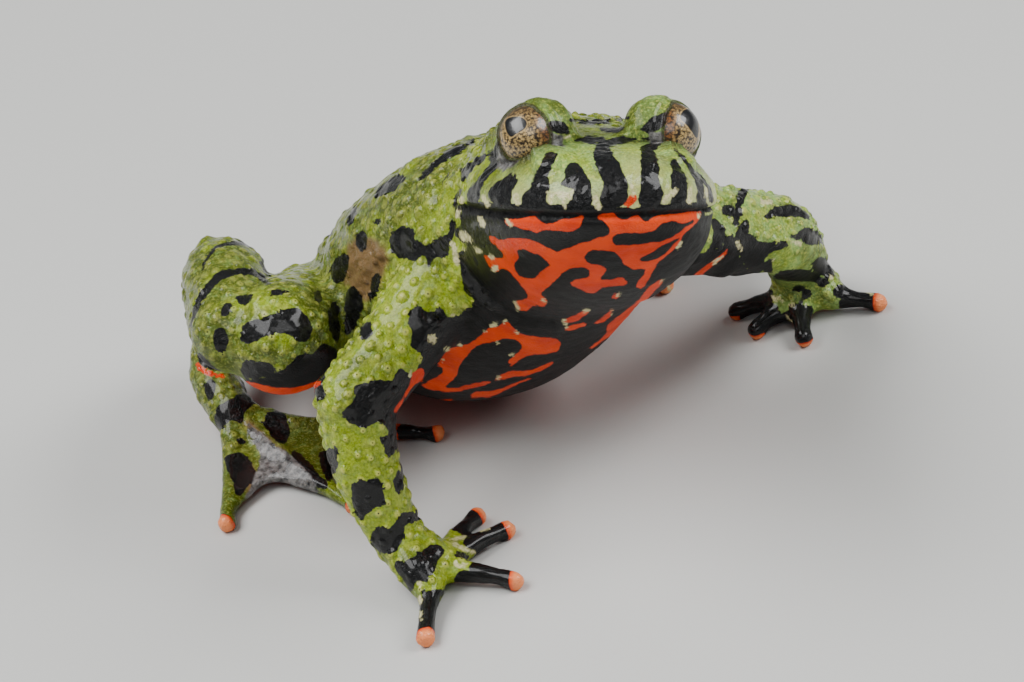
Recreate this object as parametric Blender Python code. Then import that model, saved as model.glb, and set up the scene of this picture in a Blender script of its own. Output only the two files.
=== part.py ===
"""Oriental fire-bellied toad, life size, sitting with its head raised and its weight on one side.

The toad faces -Y, its left side is +X, and the floor is z = 0. Shapes are worked out in
millimetres and turned into metres at the end. The flesh of the trunk and arms is lofted from a
few named sizes, fused into one smooth body and parted at the joints by thin cuts. The parts of
the hind legs are fused one by one and trimmed back from each other, so that the folded legs meet
the trunk and themselves face to face. Each named part is one closed solid.
"""

import math
import random

import bmesh
import bpy
import numpy as np
from mathutils import Matrix, Vector

MM = 0.001
GAP = 0.3
VOXEL = 0.24
SMOOTH_ROUNDS = 3
FLOOR_DIP = 0.12

# Stance, in millimetres: the joints of the skeleton under the skin
HEAD = Vector((4.47, 5.05, 20.27))
HEAD_YAW = math.radians(-6.2)
HEAD_PITCH = math.radians(-19.6)
HEAD_ROLL = math.radians(18.0)
SPINE = (
    Vector((3.7, 10.1, 16.3)),
    Vector((1.6, 19.0, 11.3)),
    Vector((0.0, 28.0, 6.5)),
    Vector((0.0, 33.8, 3.7)),
)
ARMS = {
    "right": {
        "shoulder": Vector((-2.9, 10.9, 14.6)),
        "elbow": Vector((-10.9, 8.4, 11.1)),
        "middle": Vector((-11.6, 7.1, 7.0)),
        "wrist": Vector((-11.3, 5.8, 2.9)),
        "palm": Vector((-10.1, 4.4, 1.3)),
    },
    "left": {
        "shoulder": Vector((9.6, 9.2, 13.5)),
        "elbow": Vector((17.9, 11.4, 8.3)),
        "middle": Vector((19.4, 13.4, 5.7)),
        "wrist": Vector((20.5, 15.6, 2.9)),
        "palm": Vector((19.9, 15.0, 1.4)),
    },
}
FINGER_TIPS = {
    "right": ((-5.7, 8.1), (-4.9, 5.6), (-6.7, 0.5), (-13.1, -1.0)),
    "left": ((16.6, 17.3), (16.5, 14.4), (18.3, 11.5), (23.7, 11.8)),
}
LEGS = {
    "right": {
        "hip": Vector((-3.6, 30.4, 4.1)),
        "knee": Vector((-11.4, 18.9, 10.7)),
        "shin": Vector((-13.9, 20.4, 11.5)),
        "calf": Vector((-11.9, 26.9, 11.3)),
        "ankle": Vector((-10.9, 31.8, 7.9)),
        "heel": Vector((-10.8, 34.8, 4.9)),
        "tarsus": Vector((-13.3, 30.9, 3.3)),
        "foot": Vector((-13.7, 27.0, 2.2)),
    },
    "left": {
        "hip": Vector((3.6, 30.6, 4.1)),
        "knee": Vector((13.2, 21.6, 8.0)),
        "shin": Vector((15.6, 23.4, 8.5)),
        "calf": Vector((13.9, 29.2, 8.0)),
        "ankle": Vector((12.6, 33.8, 5.8)),
        "heel": Vector((11.6, 36.8, 4.4)),
        "tarsus": Vector((14.3, 33.8, 3.1)),
        "foot": Vector((15.2, 30.4, 2.2)),
    },
}
TOE_TIPS = {
    "right": ((-8.6, 23.4), (-6.2, 20.6), (-3.9, 18.3), (-11.1, 14.6), (-18.0, 18.4)),
    "left": ((10.6, 27.6), (9.4, 25.2), (10.2, 23.4), (14.6, 23.4), (19.2, 25.4)),
}

# Limb thickness, as radii in millimetres
ARM_RADII = {
    "right": {"shoulder": 2.9, "upper": 2.4, "elbow": 2.3, "fore": 1.95, "wrist": 1.55},
    "left": {"shoulder": 3.0, "upper": 2.7, "elbow": 2.35, "fore": 2.05, "wrist": 1.85},
}
HAND_RADII = {"palm": 1.5, "knuckle": 0.74, "finger": 0.56, "pad": 0.66}
LEG_RADII = {"hip": 3.5, "thigh": 3.6, "knee": 3.45}
SHANK_RADII = {"shin": 2.5, "calf": 2.6, "ankle": 2.1, "heel": 1.65}
FOOT_RADII = {"tarsus": 1.5, "sole": 1.45, "knuckle": 0.8, "toe": 0.56, "pad": 0.66}
WEB = {"thickness": 0.62, "reach": 0.93, "sag": 0.3}

# Head, in its own frame: y is 0 at the corners of the mouth and grows backwards
# Each row: y, half width, top, line of the mouth, bottom of the throat
HEAD_ROWS = (
    (-11.2, 1.2, 1.0, -0.2, -0.9),
    (-10.9, 2.6, 1.7, -0.25, -1.5),
    (-10.1, 3.9, 2.3, -0.3, -2.4),
    (-8.6, 5.1, 2.8, -0.4, -3.7),
    (-6.4, 6.2, 3.1, -0.5, -5.2),
    (-3.6, 6.8, 3.4, -0.7, -6.4),
    (-0.6, 7.05, 3.6, -1.0, -7.2),
    (2.6, 7.0, 3.9, -1.5, -7.6),
    (5.6, 6.7, 3.9, -2.2, -7.6),
)
MOUTH_GROOVE = {"depth": 0.22, "half_width": 0.2, "back": 0.6}
EYE = {"x": 4.0, "y": -4.3, "z": 3.4, "radius": 1.68, "mound": 2.02, "inner_mound": 2.1}
EYE_GAP = 0.14
EYE_YAW = math.radians(30.0)
EYE_PITCH = math.radians(28.0)
LID_OPENING = {"width": 1.56, "height": 1.4}
NOSTRIL = {"x": 1.35, "y": -10.2, "z": 1.9, "radius": 0.32}

# Trunk rows: distance behind the neck along the spine, half width, height above, depth below
TRUNK_ROWS = (
    (-4.5, 6.4, 4.1, 6.2),
    (0.0, 7.4, 4.9, 7.2),
    (5.2, 8.3, 6.0, 8.6),
    (10.4, 8.8, 5.8, 9.3),
    (15.4, 8.2, 4.9, 8.5),
    (20.6, 6.5, 3.7, 6.4),
    (24.2, 5.0, 3.5, 4.8),
    (27.0, 3.2, 2.7, 3.4),
    (28.8, 1.4, 1.4, 1.8),
)

# Warts, in millimetres: how many, how far apart, how wide and how far they stand out
WARTS = {"trunk": 60, "thigh": 7, "shank": 7, "apart": 2.2, "radius": 0.7, "height": 0.26}
SEED = 11

TRIANGLES = {"trunk": 7200, "head": 3400, "thigh": 560, "shank": 480, "foot": 900}

# Plain finish of each named part: colour and roughness
GREEN = (0.28, 0.40, 0.06, 1.0)
BELLY = (0.62, 0.13, 0.02, 1.0)
IRIS = (0.42, 0.27, 0.09, 1.0)
FINISH = {"eye": (IRIS, 0.08), "torso": (BELLY, 0.3), "limb": (GREEN, 0.3)}


def clear_scene():
    for obj in list(bpy.data.objects):
        bpy.data.objects.remove(obj, do_unlink=True)


def head_matrix():
    """From the head's own frame to the part's frame, in millimetres."""
    turn = Matrix.Rotation(HEAD_YAW, 4, "Z") @ Matrix.Rotation(HEAD_PITCH, 4, "X")
    turn = turn @ Matrix.Rotation(HEAD_ROLL, 4, "Y")
    return Matrix.Translation(HEAD) @ turn


def new_object(name, vertices, faces):
    mesh = bpy.data.meshes.new(name)
    mesh.from_pydata([tuple(v) for v in vertices], [], faces)
    mesh.validate()
    obj = bpy.data.objects.new(name, mesh)
    bpy.context.scene.collection.objects.link(obj)
    outward(obj)
    return obj


def outward(obj):
    bm = bmesh.new()
    bm.from_mesh(obj.data)
    bmesh.ops.recalc_face_normals(bm, faces=bm.faces)
    if bm.calc_volume(signed=True) < 0:
        bmesh.ops.reverse_faces(bm, faces=bm.faces)
    bm.to_mesh(obj.data)
    bm.free()


def spline(values, count):
    """Even steps along a Catmull-Rom curve through rows of numbers."""
    rows = np.array(values, float)
    rows = np.vstack([2 * rows[0] - rows[1], rows, 2 * rows[-1] - rows[-2]])
    spans = len(rows) - 3
    out = []
    for step in range(count):
        place = step / (count - 1) * spans
        k = min(int(place), spans - 1)
        t = place - k
        a, b, c, d = rows[k : k + 4]
        out.append(
            0.5 * (2 * b + (c - a) * t + (2 * a - 5 * b + 4 * c - d) * t**2
                   + (3 * b - a - 3 * c + d) * t**3)
        )
    return np.array(out)


def loft(name, rings):
    """A closed body through rings of the same number of points, from first to last."""
    sides = len(rings[0])
    vertices = [p for ring in rings for p in ring]
    faces = []
    for r in range(len(rings) - 1):
        for s in range(sides):
            n = (s + 1) % sides
            faces.append((r * sides + s, r * sides + n, (r + 1) * sides + n, (r + 1) * sides + s))
    for r in (0, len(rings) - 1):
        vertices.append(np.mean(rings[r], axis=0))
        middle = len(vertices) - 1
        for s in range(sides):
            faces.append((r * sides + s, r * sides + (s + 1) % sides, middle))
    return new_object(name, vertices, faces)


def section(centre, side, up, width, above, below, power=2.0, sides=36):
    """One ring round a centre: an ellipse, or fuller with a power over 2."""
    ring = []
    for k in range(sides):
        angle = 2 * math.pi * k / sides
        c = math.cos(angle)
        s = math.sin(angle)
        across = width * math.copysign(abs(c) ** (2 / power), c)
        height = (above if s > 0 else below) * math.copysign(abs(s) ** (2 / power), s)
        ring.append(np.array(centre) + across * np.array(side) + height * np.array(up))
    return ring


def tube(name, stations, sides=20, flat=1.0, flat_axis=(0, 0, 1)):
    """A round-ended limb through (point, radius) stations; flat under 1 thins it along flat_axis."""
    rows = [tuple(p) + (r,) for p, r in stations]
    rows = spline(rows, 7 * (len(rows) - 1) + 1)
    first = rows[0][:3] - rows[1][:3]
    last = rows[-1][:3] - rows[-2][:3]
    first /= np.linalg.norm(first)
    last /= np.linalg.norm(last)
    domes = (0.985, 0.85, 0.6, 0.3)
    start = [(rows[0][:3] + first * d * rows[0][3], rows[0][3] * math.sqrt(1 - d * d)) for d in domes]
    end = [
        (rows[-1][:3] + last * d * rows[-1][3], rows[-1][3] * math.sqrt(1 - d * d))
        for d in reversed(domes)
    ]
    path = start + [(row[:3], row[3]) for row in rows] + end
    points = np.array([p for p, _ in path])
    tangents = np.gradient(points, axis=0)
    tangents /= np.linalg.norm(tangents, axis=1)[:, None]
    side = np.cross(tangents[0], np.array(flat_axis, float))
    if np.linalg.norm(side) < 0.1:
        side = np.cross(tangents[0], (1.0, 0.0, 0.0))
    rings = []
    for (point, radius), tangent in zip(path, tangents):
        side = side - tangent * float(side @ tangent)
        side /= np.linalg.norm(side)
        up = np.cross(side, tangent)
        rings.append(section(point, side, up, radius, radius * flat, radius * flat, 2.0, sides))
    return loft(name, rings)


def blob(name, centre, radii, turn=None):
    """An ellipsoid; turn is a 3x3 or 4x4 rotation of its axes."""
    bpy.ops.mesh.primitive_uv_sphere_add(segments=24, ring_count=14, radius=1.0)
    obj = bpy.context.object
    obj.name = name
    matrix = Matrix.Translation(Vector(centre))
    if turn is not None:
        matrix = matrix @ turn.to_4x4()
    obj.data.transform(matrix @ Matrix.Diagonal((*radii, 1.0)))
    return obj


def along(direction):
    """A rotation that puts +Z on a direction."""
    return Vector(direction).to_track_quat("Z", "Y").to_matrix()


def join(name, pieces):
    bpy.ops.object.select_all(action="DESELECT")
    for piece in pieces:
        piece.select_set(True)
    bpy.context.view_layer.objects.active = pieces[0]
    if len(pieces) > 1:
        bpy.ops.object.join()
    joined = pieces[0]
    joined.name = name
    return joined


def apply_modifiers(obj):
    bpy.context.view_layer.objects.active = obj
    for modifier in list(obj.modifiers):
        bpy.ops.object.modifier_apply(modifier=modifier.name)


def fuse(obj, voxel=VOXEL, rounds=SMOOTH_ROUNDS):
    """One smooth closed skin round overlapping bodies."""
    remesh = obj.modifiers.new("fuse", "REMESH")
    remesh.mode = "VOXEL"
    remesh.voxel_size = voxel
    smooth = obj.modifiers.new("soften", "SMOOTH")
    smooth.factor = 0.5
    smooth.iterations = rounds
    apply_modifiers(obj)
    keep_largest(obj)


def coordinates(obj):
    co = np.empty(len(obj.data.vertices) * 3)
    obj.data.vertices.foreach_get("co", co)
    return co.reshape(-1, 3)


def set_coordinates(obj, co):
    obj.data.vertices.foreach_set("co", co.astype(np.float32).ravel())
    obj.data.update()


def rest_on_floor(obj):
    co = coordinates(obj)
    co[:, 2] = np.maximum(co[:, 2], 0.0)
    set_coordinates(obj, co)


def thin_out(obj, triangles):
    obj.data.calc_loop_triangles()
    share = min(1.0, triangles / len(obj.data.loop_triangles))
    decimate = obj.modifiers.new("thin out", "DECIMATE")
    decimate.ratio = share
    decimate.use_collapse_triangulate = True
    apply_modifiers(obj)


def boolean(obj, other, operation, solver="EXACT"):
    modifier = obj.modifiers.new("boolean", "BOOLEAN")
    modifier.operation = operation
    modifier.solver = solver
    modifier.object = other
    apply_modifiers(obj)
    bpy.data.objects.remove(other, do_unlink=True)


def islands(bm):
    """The connected sets of faces of a mesh."""
    found = []
    seen = set()
    for face in bm.faces:
        if face in seen:
            continue
        group = []
        stack = [face]
        seen.add(face)
        while stack:
            one = stack.pop()
            group.append(one)
            for edge in one.edges:
                for near in edge.link_faces:
                    if near not in seen:
                        seen.add(near)
                        stack.append(near)
        found.append(group)
    return found


def keep_largest(obj):
    bm = bmesh.new()
    bm.from_mesh(obj.data)
    groups = islands(bm)
    if len(groups) > 1:
        groups.sort(key=len)
        loose = [face for group in groups[:-1] for face in group]
        bmesh.ops.delete(bm, geom=loose, context="FACES")
        bm.to_mesh(obj.data)
    bm.free()


def disc(point, normal, radius, thickness=GAP):
    """A thin round cutter across a joint."""
    bpy.ops.mesh.primitive_cylinder_add(vertices=40, radius=radius, depth=thickness)
    cutter = bpy.context.object
    cutter.data.transform(Matrix.Translation(Vector(point)) @ along(normal).to_4x4())
    return cutter


def part_across(obj, point, normal, radius, far_name):
    """Cut a body in two with a thin disc; the piece beyond it gets the new name."""
    point = Vector(point)
    normal = Vector(normal).normalized()
    boolean(obj, disc(point, normal, radius), "DIFFERENCE")
    bm = bmesh.new()
    bm.from_mesh(obj.data)
    groups = sorted(islands(bm), key=len)[-2:]
    beyond = []
    for group in groups:
        middle = sum((f.calc_center_median() for f in group), Vector()) / len(group)
        beyond.append((middle - point).dot(normal))
    far = groups[0] if beyond[0] > beyond[1] else groups[1]
    near = groups[1] if far is groups[0] else groups[0]
    far_set = {f.index for f in far}
    near_set = {f.index for f in near}
    bm.free()
    piece = obj.copy()
    piece.data = obj.data.copy()
    piece.name = far_name
    bpy.context.scene.collection.objects.link(piece)
    keep_faces(piece, far_set)
    keep_faces(obj, near_set)
    return piece


def keep_faces(obj, kept):
    bm = bmesh.new()
    bm.from_mesh(obj.data)
    bm.faces.ensure_lookup_table()
    loose = [f for f in bm.faces if f.index not in kept]
    bmesh.ops.delete(bm, geom=loose, context="FACES")
    bm.to_mesh(obj.data)
    bm.free()


def trim_back(obj, others):
    """Cut a body back so that it stays a gap away from bodies that it meets."""
    for other in others:
        grown = other.copy()
        grown.data = other.data.copy()
        grown.name = "grown"
        bpy.context.scene.collection.objects.link(grown)
        swell = grown.modifiers.new("swell", "DISPLACE")
        swell.mid_level = 0.0
        swell.strength = GAP
        apply_modifiers(grown)
        boolean(obj, grown, "DIFFERENCE")
        keep_largest(obj)


def mix(a, b, share):
    return Vector(a).lerp(Vector(b), share)


# Head and trunk


def head_forms():
    """The head's flesh: skull, jaw and throat, the mounds over the eyes and the brows."""
    place = head_matrix()
    turn = place.to_3x3()
    side = np.array(turn @ Vector((1, 0, 0)))
    up = np.array(turn @ Vector((0, 0, 1)))
    upper = []
    lower = []
    for y, width, top, mouth, bottom in spline(HEAD_ROWS, 40):
        centre = place @ Vector((0, y, mouth))
        upper.append(section(centre, side, up, width, top - mouth, 0.35, 2.35))
        lower.append(section(centre, side, up, width - 0.15, 0.35, mouth - bottom, 2.15))
    pieces = [loft("skull", upper), loft("jaw", lower)]
    for hand in (-1, 1):
        eye = Vector((hand * EYE["x"], EYE["y"], EYE["z"]))
        pieces.append(blob("mound", place @ eye, (EYE["mound"],) * 3))
        inner = eye + Vector((-hand * 0.6, 0.1, 0.1))
        pieces.append(blob("mound", place @ inner, (EYE["inner_mound"],) * 3))
        brow = eye + Vector((-hand * 0.4, -2.3, -0.8))
        pieces.append(blob("brow", place @ brow, (1.3, 2.2, 1.0), turn))
        behind = eye + Vector((hand * 0.2, 3.0, -0.9))
        pieces.append(blob("temple", place @ behind, (1.7, 3.0, 1.5), turn))
    return pieces


def trunk_forms():
    points = spline([tuple(p) for p in SPINE], 61)
    steps = np.linalg.norm(np.diff(points, axis=0), axis=1)
    travel = np.concatenate([[0], np.cumsum(steps)])
    length = travel[-1]
    rings = []
    for reach, width, above, below in spline(TRUNK_ROWS, 48):
        inside = min(max(reach, 0.0), length)
        near = min(max(reach - 1.5, 0.0), length - 3.0)
        here = np.array([np.interp(inside, travel, points[:, k]) for k in range(3)])
        start = np.array([np.interp(near, travel, points[:, k]) for k in range(3)])
        stop = np.array([np.interp(near + 3.0, travel, points[:, k]) for k in range(3)])
        tangent = (stop - start) / np.linalg.norm(stop - start)
        centre = here + tangent * (reach - inside)
        roll = HEAD_ROLL * (1 - inside / length)
        side = np.array((math.cos(roll), 0.0, -math.sin(roll)))
        side = side - tangent * float(side @ tangent)
        side /= np.linalg.norm(side)
        up = np.cross(side, tangent)
        rings.append(section(centre, side, up, width, above, below, 2.2))
    return [loft("trunk", rings)]


# Limbs


def arm_forms(hand):
    joints = ARMS[hand]
    r = ARM_RADII[hand]
    names = ("shoulder", "elbow", "middle", "wrist", "palm")
    shoulder, elbow, middle, wrist, palm = (joints[k] for k in names)
    upper = tube(
        "upper",
        [(shoulder, r["shoulder"]), (mix(shoulder, elbow, 0.5), r["upper"]), (elbow, r["elbow"])],
    )
    fore = tube("fore", [(elbow, r["elbow"]), (middle, r["fore"]), (wrist, r["wrist"])])
    return [upper, fore] + hand_forms(hand, wrist, palm)


def digit(name, root, knuckle, end, radii):
    """A finger or toe: root and knuckle above the floor, the round pad resting on it."""
    bend = mix(knuckle, end, 0.55)
    bend.z = radii["pad"] + 0.2
    near = mix(bend, end, 0.75)
    bone = [(root, 1.1), (knuckle, radii["knuckle"]), (bend, radii["bone"])]
    bone.append((near, radii["bone"] * 0.94))
    return [tube(name, bone, 14), blob("pad", end, (radii["pad"],) * 3)]


def hand_forms(hand, wrist, palm):
    r = dict(HAND_RADII, bone=HAND_RADII["finger"])
    pieces = [tube("palm", [(wrist, ARM_RADII[hand]["wrist"] * 0.95), (palm, r["palm"])])]
    outer = Vector((*FINGER_TIPS[hand][-1], 1.0))
    heel = palm + (outer - palm).normalized() * 2.2
    pieces.append(tube("palm_edge", [(wrist, 1.35), (mix(wrist, heel, 0.6), 1.3), (heel, 1.0)]))
    for tip in FINGER_TIPS[hand]:
        end = Vector((tip[0], tip[1], r["pad"] - FLOOR_DIP))
        knuckle = palm + (end - palm).normalized() * 1.9
        knuckle.z = 0.95
        pieces += digit("finger", palm, knuckle, end, r)
    return pieces


def thigh_forms(hand):
    joints = LEGS[hand]
    r = LEG_RADII
    hip, knee = joints["hip"], joints["knee"]
    return [tube("thigh", [(hip, r["hip"]), (mix(hip, knee, 0.5), r["thigh"]), (knee, r["knee"])], 24)]


def shank_forms(hand):
    joints = LEGS[hand]
    names = ("shin", "calf", "ankle", "heel")
    return [tube("shank", [(joints[k], SHANK_RADII[k]) for k in names], 24)]


def toe_points(foot, tip):
    """Knuckle and end of one toe."""
    end = Vector((tip[0], tip[1], FOOT_RADII["pad"] - FLOOR_DIP))
    knuckle = foot + (end - foot).normalized() * 2.2
    knuckle.z = 1.45
    return knuckle, end


def foot_forms(hand):
    joints = LEGS[hand]
    r = dict(FOOT_RADII, bone=FOOT_RADII["toe"])
    heel, tarsus, foot = joints["heel"], joints["tarsus"], joints["foot"]
    pieces = [tube("tarsus", [(heel, 1.3), (tarsus, r["tarsus"]), (foot, r["sole"])])]
    toes = [toe_points(foot, tip) for tip in TOE_TIPS[hand]]
    for knuckle, end in toes:
        pieces += digit("toe", foot, knuckle, end, r)
    for first, second in zip(toes, toes[1:]):
        pieces.append(web(foot, first, second))
    return pieces


def toe_at(foot, toe, share):
    """A point along a toe's bone, for the web that hangs from it."""
    knuckle, end = toe
    bend = mix(knuckle, end, 0.55)
    bend.z = FOOT_RADII["pad"] + 0.2
    stops = [Vector((foot.x, foot.y, 1.5)), knuckle, bend, end]
    place = min(share, 0.999) * 3
    k = int(place)
    point = mix(stops[k], stops[k + 1], place - k)
    point.z = max(point.z - 0.1, 0.42)
    return point


def web(foot, first, second):
    """A thin skin between two toes, its free edge drawn back in an arc."""
    steps = 10
    count = 8
    vertices = []
    for lift in (WEB["thickness"] / 2, -WEB["thickness"] / 2):
        for k in range(steps + 1):
            share = k / steps
            edge = WEB["reach"] * (1 - WEB["sag"] * math.sin(math.pi * share))
            for place in np.linspace(0.0, 1.0, count):
                a = toe_at(foot, first, place * edge)
                b = toe_at(foot, second, place * edge)
                point = mix(a, b, share)
                vertices.append((point.x, point.y, point.z + lift))
    sheet = (steps + 1) * count
    faces = []
    for k in range(steps):
        for j in range(count - 1):
            a = k * count + j
            quad = (a, a + 1, a + count + 1, a + count)
            faces.append(quad)
            faces.append(tuple(sheet + n for n in reversed(quad)))
    rim = [k * count for k in range(steps + 1)]
    rim += [steps * count + j for j in range(1, count)]
    rim += [k * count + count - 1 for k in range(steps - 1, -1, -1)]
    rim += [j for j in range(count - 2, 0, -1)]
    for a, b in zip(rim, rim[1:] + rim[:1]):
        faces.append((a, b, sheet + b, sheet + a))
    return new_object("web", vertices, faces)


# Skin detail


def wart_forms(obj, count, wanted):
    """Low round warts half sunk in a body's skin, where wanted(point, normal) is true."""
    draw = random.Random(SEED + count)
    order = list(range(len(obj.data.vertices)))
    draw.shuffle(order)
    placed = []
    pieces = []
    for index in order:
        vertex = obj.data.vertices[index]
        point = vertex.co.copy()
        normal = vertex.normal.copy()
        if not wanted(point, normal):
            continue
        if any((point - other).length < WARTS["apart"] for other in placed):
            continue
        placed.append(point)
        radius = WARTS["radius"] * draw.uniform(0.75, 1.15)
        pieces.append(blob("wart", point, (radius, radius, WARTS["height"]), along(normal)))
        if len(placed) == count:
            break
    return pieces


def on_back(point, normal):
    """True on the back, the flanks and the outer sides of the arms."""
    local = head_matrix().inverted() @ point
    if local.y < 1.0 and abs(local.x) < 8.0:
        return False
    if point.z < 3.6:
        return False
    return normal.z > 0.15 or (abs(point.x) > 9.0 and normal.y < 0.3)


def on_top(point, normal):
    return normal.z > 0.25 and point.z > 4.0


def groove_mouth(obj):
    """Press the line of the mouth into the skin and set the lower jaw back under the lip."""
    to_head = np.array(head_matrix().inverted())
    to_part = np.array(head_matrix())
    co = coordinates(obj)
    local = co @ to_head[:3, :3].T + to_head[:3, 3]
    rows = np.array(HEAD_ROWS)
    y = local[:, 1]
    mouth = np.interp(y, rows[:, 0], rows[:, 3])
    width = np.interp(y, rows[:, 0], rows[:, 1])
    rise = local[:, 2] - mouth
    near = (y < MOUTH_GROOVE["back"]) & (np.abs(local[:, 0]) < width + 1.0) & (np.abs(rise) < 1.6)
    fade = np.clip((MOUTH_GROOVE["back"] - y) / 1.2, 0, 1)
    groove = MOUTH_GROOVE["depth"] * np.exp(-((rise / MOUTH_GROOVE["half_width"]) ** 2))
    step = 0.16 / (1 + np.exp(rise / 0.12)) * np.exp(-((np.minimum(rise, 0) / 1.1) ** 2))
    push = np.where(near, (groove + step) * fade, 0.0)
    away = np.stack([local[:, 0], np.minimum(local[:, 1] + 3.0, 0.0), np.zeros(len(local))], 1)
    length = np.linalg.norm(away, axis=1)
    length[length == 0] = 1
    local = local - away / length[:, None] * push[:, None]
    set_coordinates(obj, local @ to_part[:3, :3].T + to_part[:3, 3])


def eye_frame(hand):
    """From an eyeball's own frame, looking along +Z, to the part's frame."""
    sign = 1 if hand == "left" else -1
    place = head_matrix() @ Matrix.Translation((sign * EYE["x"], EYE["y"], EYE["z"]))
    gaze = Vector((sign * math.sin(EYE_YAW), -math.cos(EYE_YAW), math.tan(EYE_PITCH)))
    return place @ gaze.to_track_quat("Z", "Y").to_matrix().to_4x4()


def open_eyes(head):
    """Sockets with round lid openings, and the eyeballs that sit in them."""
    eyes = []
    for hand in ("right", "left"):
        frame = eye_frame(hand)
        centre = frame.translation
        socket = blob("socket", centre, (EYE["radius"] + EYE_GAP,) * 3)
        boolean(head, socket, "DIFFERENCE")
        size = (LID_OPENING["width"], LID_OPENING["height"], EYE["radius"] + 1.6)
        look = frame.to_3x3()
        opening = blob("opening", centre + look @ Vector((0, 0, EYE["radius"])), size, look)
        boolean(head, opening, "DIFFERENCE")
        keep_largest(head)
        bpy.ops.mesh.primitive_ico_sphere_add(subdivisions=3, radius=EYE["radius"])
        eye = bpy.context.object
        eye.data.transform(Matrix.Translation(centre))
        eye.name = "eye_" + hand
        eyes.append(eye)
    return eyes


def open_nostrils(head):
    place = head_matrix()
    for sign in (-1, 1):
        spot = place @ Vector((sign * NOSTRIL["x"], NOSTRIL["y"], NOSTRIL["z"]))
        boolean(head, blob("nostril", spot, (NOSTRIL["radius"],) * 3), "DIFFERENCE")
    keep_largest(head)


# Bodies


def fused(name, forms, wart_count, wanted, triangles):
    body = join(name, forms)
    plain = body.copy()
    plain.data = body.data.copy()
    bpy.context.scene.collection.objects.link(plain)
    fuse(plain)
    warts = wart_forms(plain, wart_count, wanted) if wart_count else []
    bpy.data.objects.remove(plain, do_unlink=True)
    if warts:
        body = join(name, [body] + warts)
    fuse(body)
    if name == "torso":
        groove_mouth(body)
    rest_on_floor(body)
    thin_out(body, triangles)
    rest_on_floor(body)
    return body


def cut_arm(torso, hand):
    """Part one arm from the trunk at the shoulder, then at the elbow and the wrist."""
    joints = ARMS[hand]
    shoulder, elbow, middle, wrist = (joints[k] for k in ("shoulder", "elbow", "middle", "wrist"))
    outward_way = (elbow - shoulder).normalized()
    down = (middle - elbow).normalized()
    upper = part_across(torso, mix(shoulder, elbow, 0.42), outward_way, 3.7, "upper_arm_" + hand)
    fore = part_across(upper, elbow, outward_way + down, 3.8, "forearm_" + hand)
    end = (wrist - middle).normalized() + Vector((0, 0, -1))
    palm = part_across(fore, wrist + Vector((0, 0, 0.3)), end, 3.0, "hand_" + hand)
    return [upper, fore, palm]


def plain_finish(name):
    """A Principled material of the node's own, wet and smooth."""
    kind = name.split("_")[0]
    colour, roughness = FINISH.get(kind, FINISH["limb"])
    material = bpy.data.materials.new(name)
    material.use_nodes = True
    shader = material.node_tree.nodes["Principled BSDF"]
    shader.inputs["Base Color"].default_value = colour
    shader.inputs["Roughness"].default_value = roughness
    shader.inputs["Metallic"].default_value = 0.0
    material.diffuse_color = colour
    return material


def finish(nodes):
    """Metres, with the origin under the middle of the part's box, and a plain finish each."""
    low = np.min([coordinates(o).min(axis=0) for o in nodes], axis=0)
    high = np.max([coordinates(o).max(axis=0) for o in nodes], axis=0)
    shift = Vector((-(low[0] + high[0]) / 2, -(low[1] + high[1]) / 2, -low[2]))
    for obj in nodes:
        obj.data.transform(Matrix.Scale(MM, 4) @ Matrix.Translation(shift))
        obj.data.materials.clear()
        obj.data.materials.append(plain_finish(obj.name))
        obj.data.shade_smooth()
    bpy.ops.object.select_all(action="DESELECT")


def build():
    clear_scene()
    forms = head_forms() + trunk_forms() + arm_forms("right") + arm_forms("left")
    torso = fused("torso", forms, WARTS["trunk"], on_back, TRIANGLES["trunk"])
    whole = torso.copy()
    whole.data = torso.data.copy()
    bpy.context.scene.collection.objects.link(whole)
    nodes = cut_arm(torso, "right") + cut_arm(torso, "left")
    neck = head_matrix() @ Vector((0.0, 5.2, -1.5))
    forward = head_matrix().to_3x3() @ Vector((0.0, -1.0, 0.28))
    head = part_across(torso, neck, forward, 16.0, "head")
    nodes += [torso, head] + open_eyes(head)
    open_nostrils(head)
    thin_out(head, TRIANGLES["head"])
    for hand in ("right", "left"):
        thigh = fused("thigh_" + hand, thigh_forms(hand), WARTS["thigh"], on_top, TRIANGLES["thigh"])
        trim_back(thigh, [whole])
        shank = fused("shank_" + hand, shank_forms(hand), WARTS["shank"], on_top, TRIANGLES["shank"])
        trim_back(shank, [whole, thigh])
        foot = fused("foot_" + hand, foot_forms(hand), 0, None, TRIANGLES["foot"])
        trim_back(foot, [whole, thigh, shank])
        nodes += [thigh, shank, foot]
    bpy.data.objects.remove(whole, do_unlink=True)
    finish(nodes)


if __name__ == "__main__":
    build()
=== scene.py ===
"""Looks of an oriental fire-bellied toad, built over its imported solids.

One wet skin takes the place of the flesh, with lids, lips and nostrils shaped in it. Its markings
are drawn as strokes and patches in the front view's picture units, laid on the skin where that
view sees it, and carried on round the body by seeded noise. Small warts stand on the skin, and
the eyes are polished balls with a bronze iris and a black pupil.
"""

import math
import random

import bpy
import numpy as np
from mathutils import Matrix, Vector, noise
from mathutils.bvhtree import BVHTree
from mathutils.kdtree import KDTree


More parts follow.
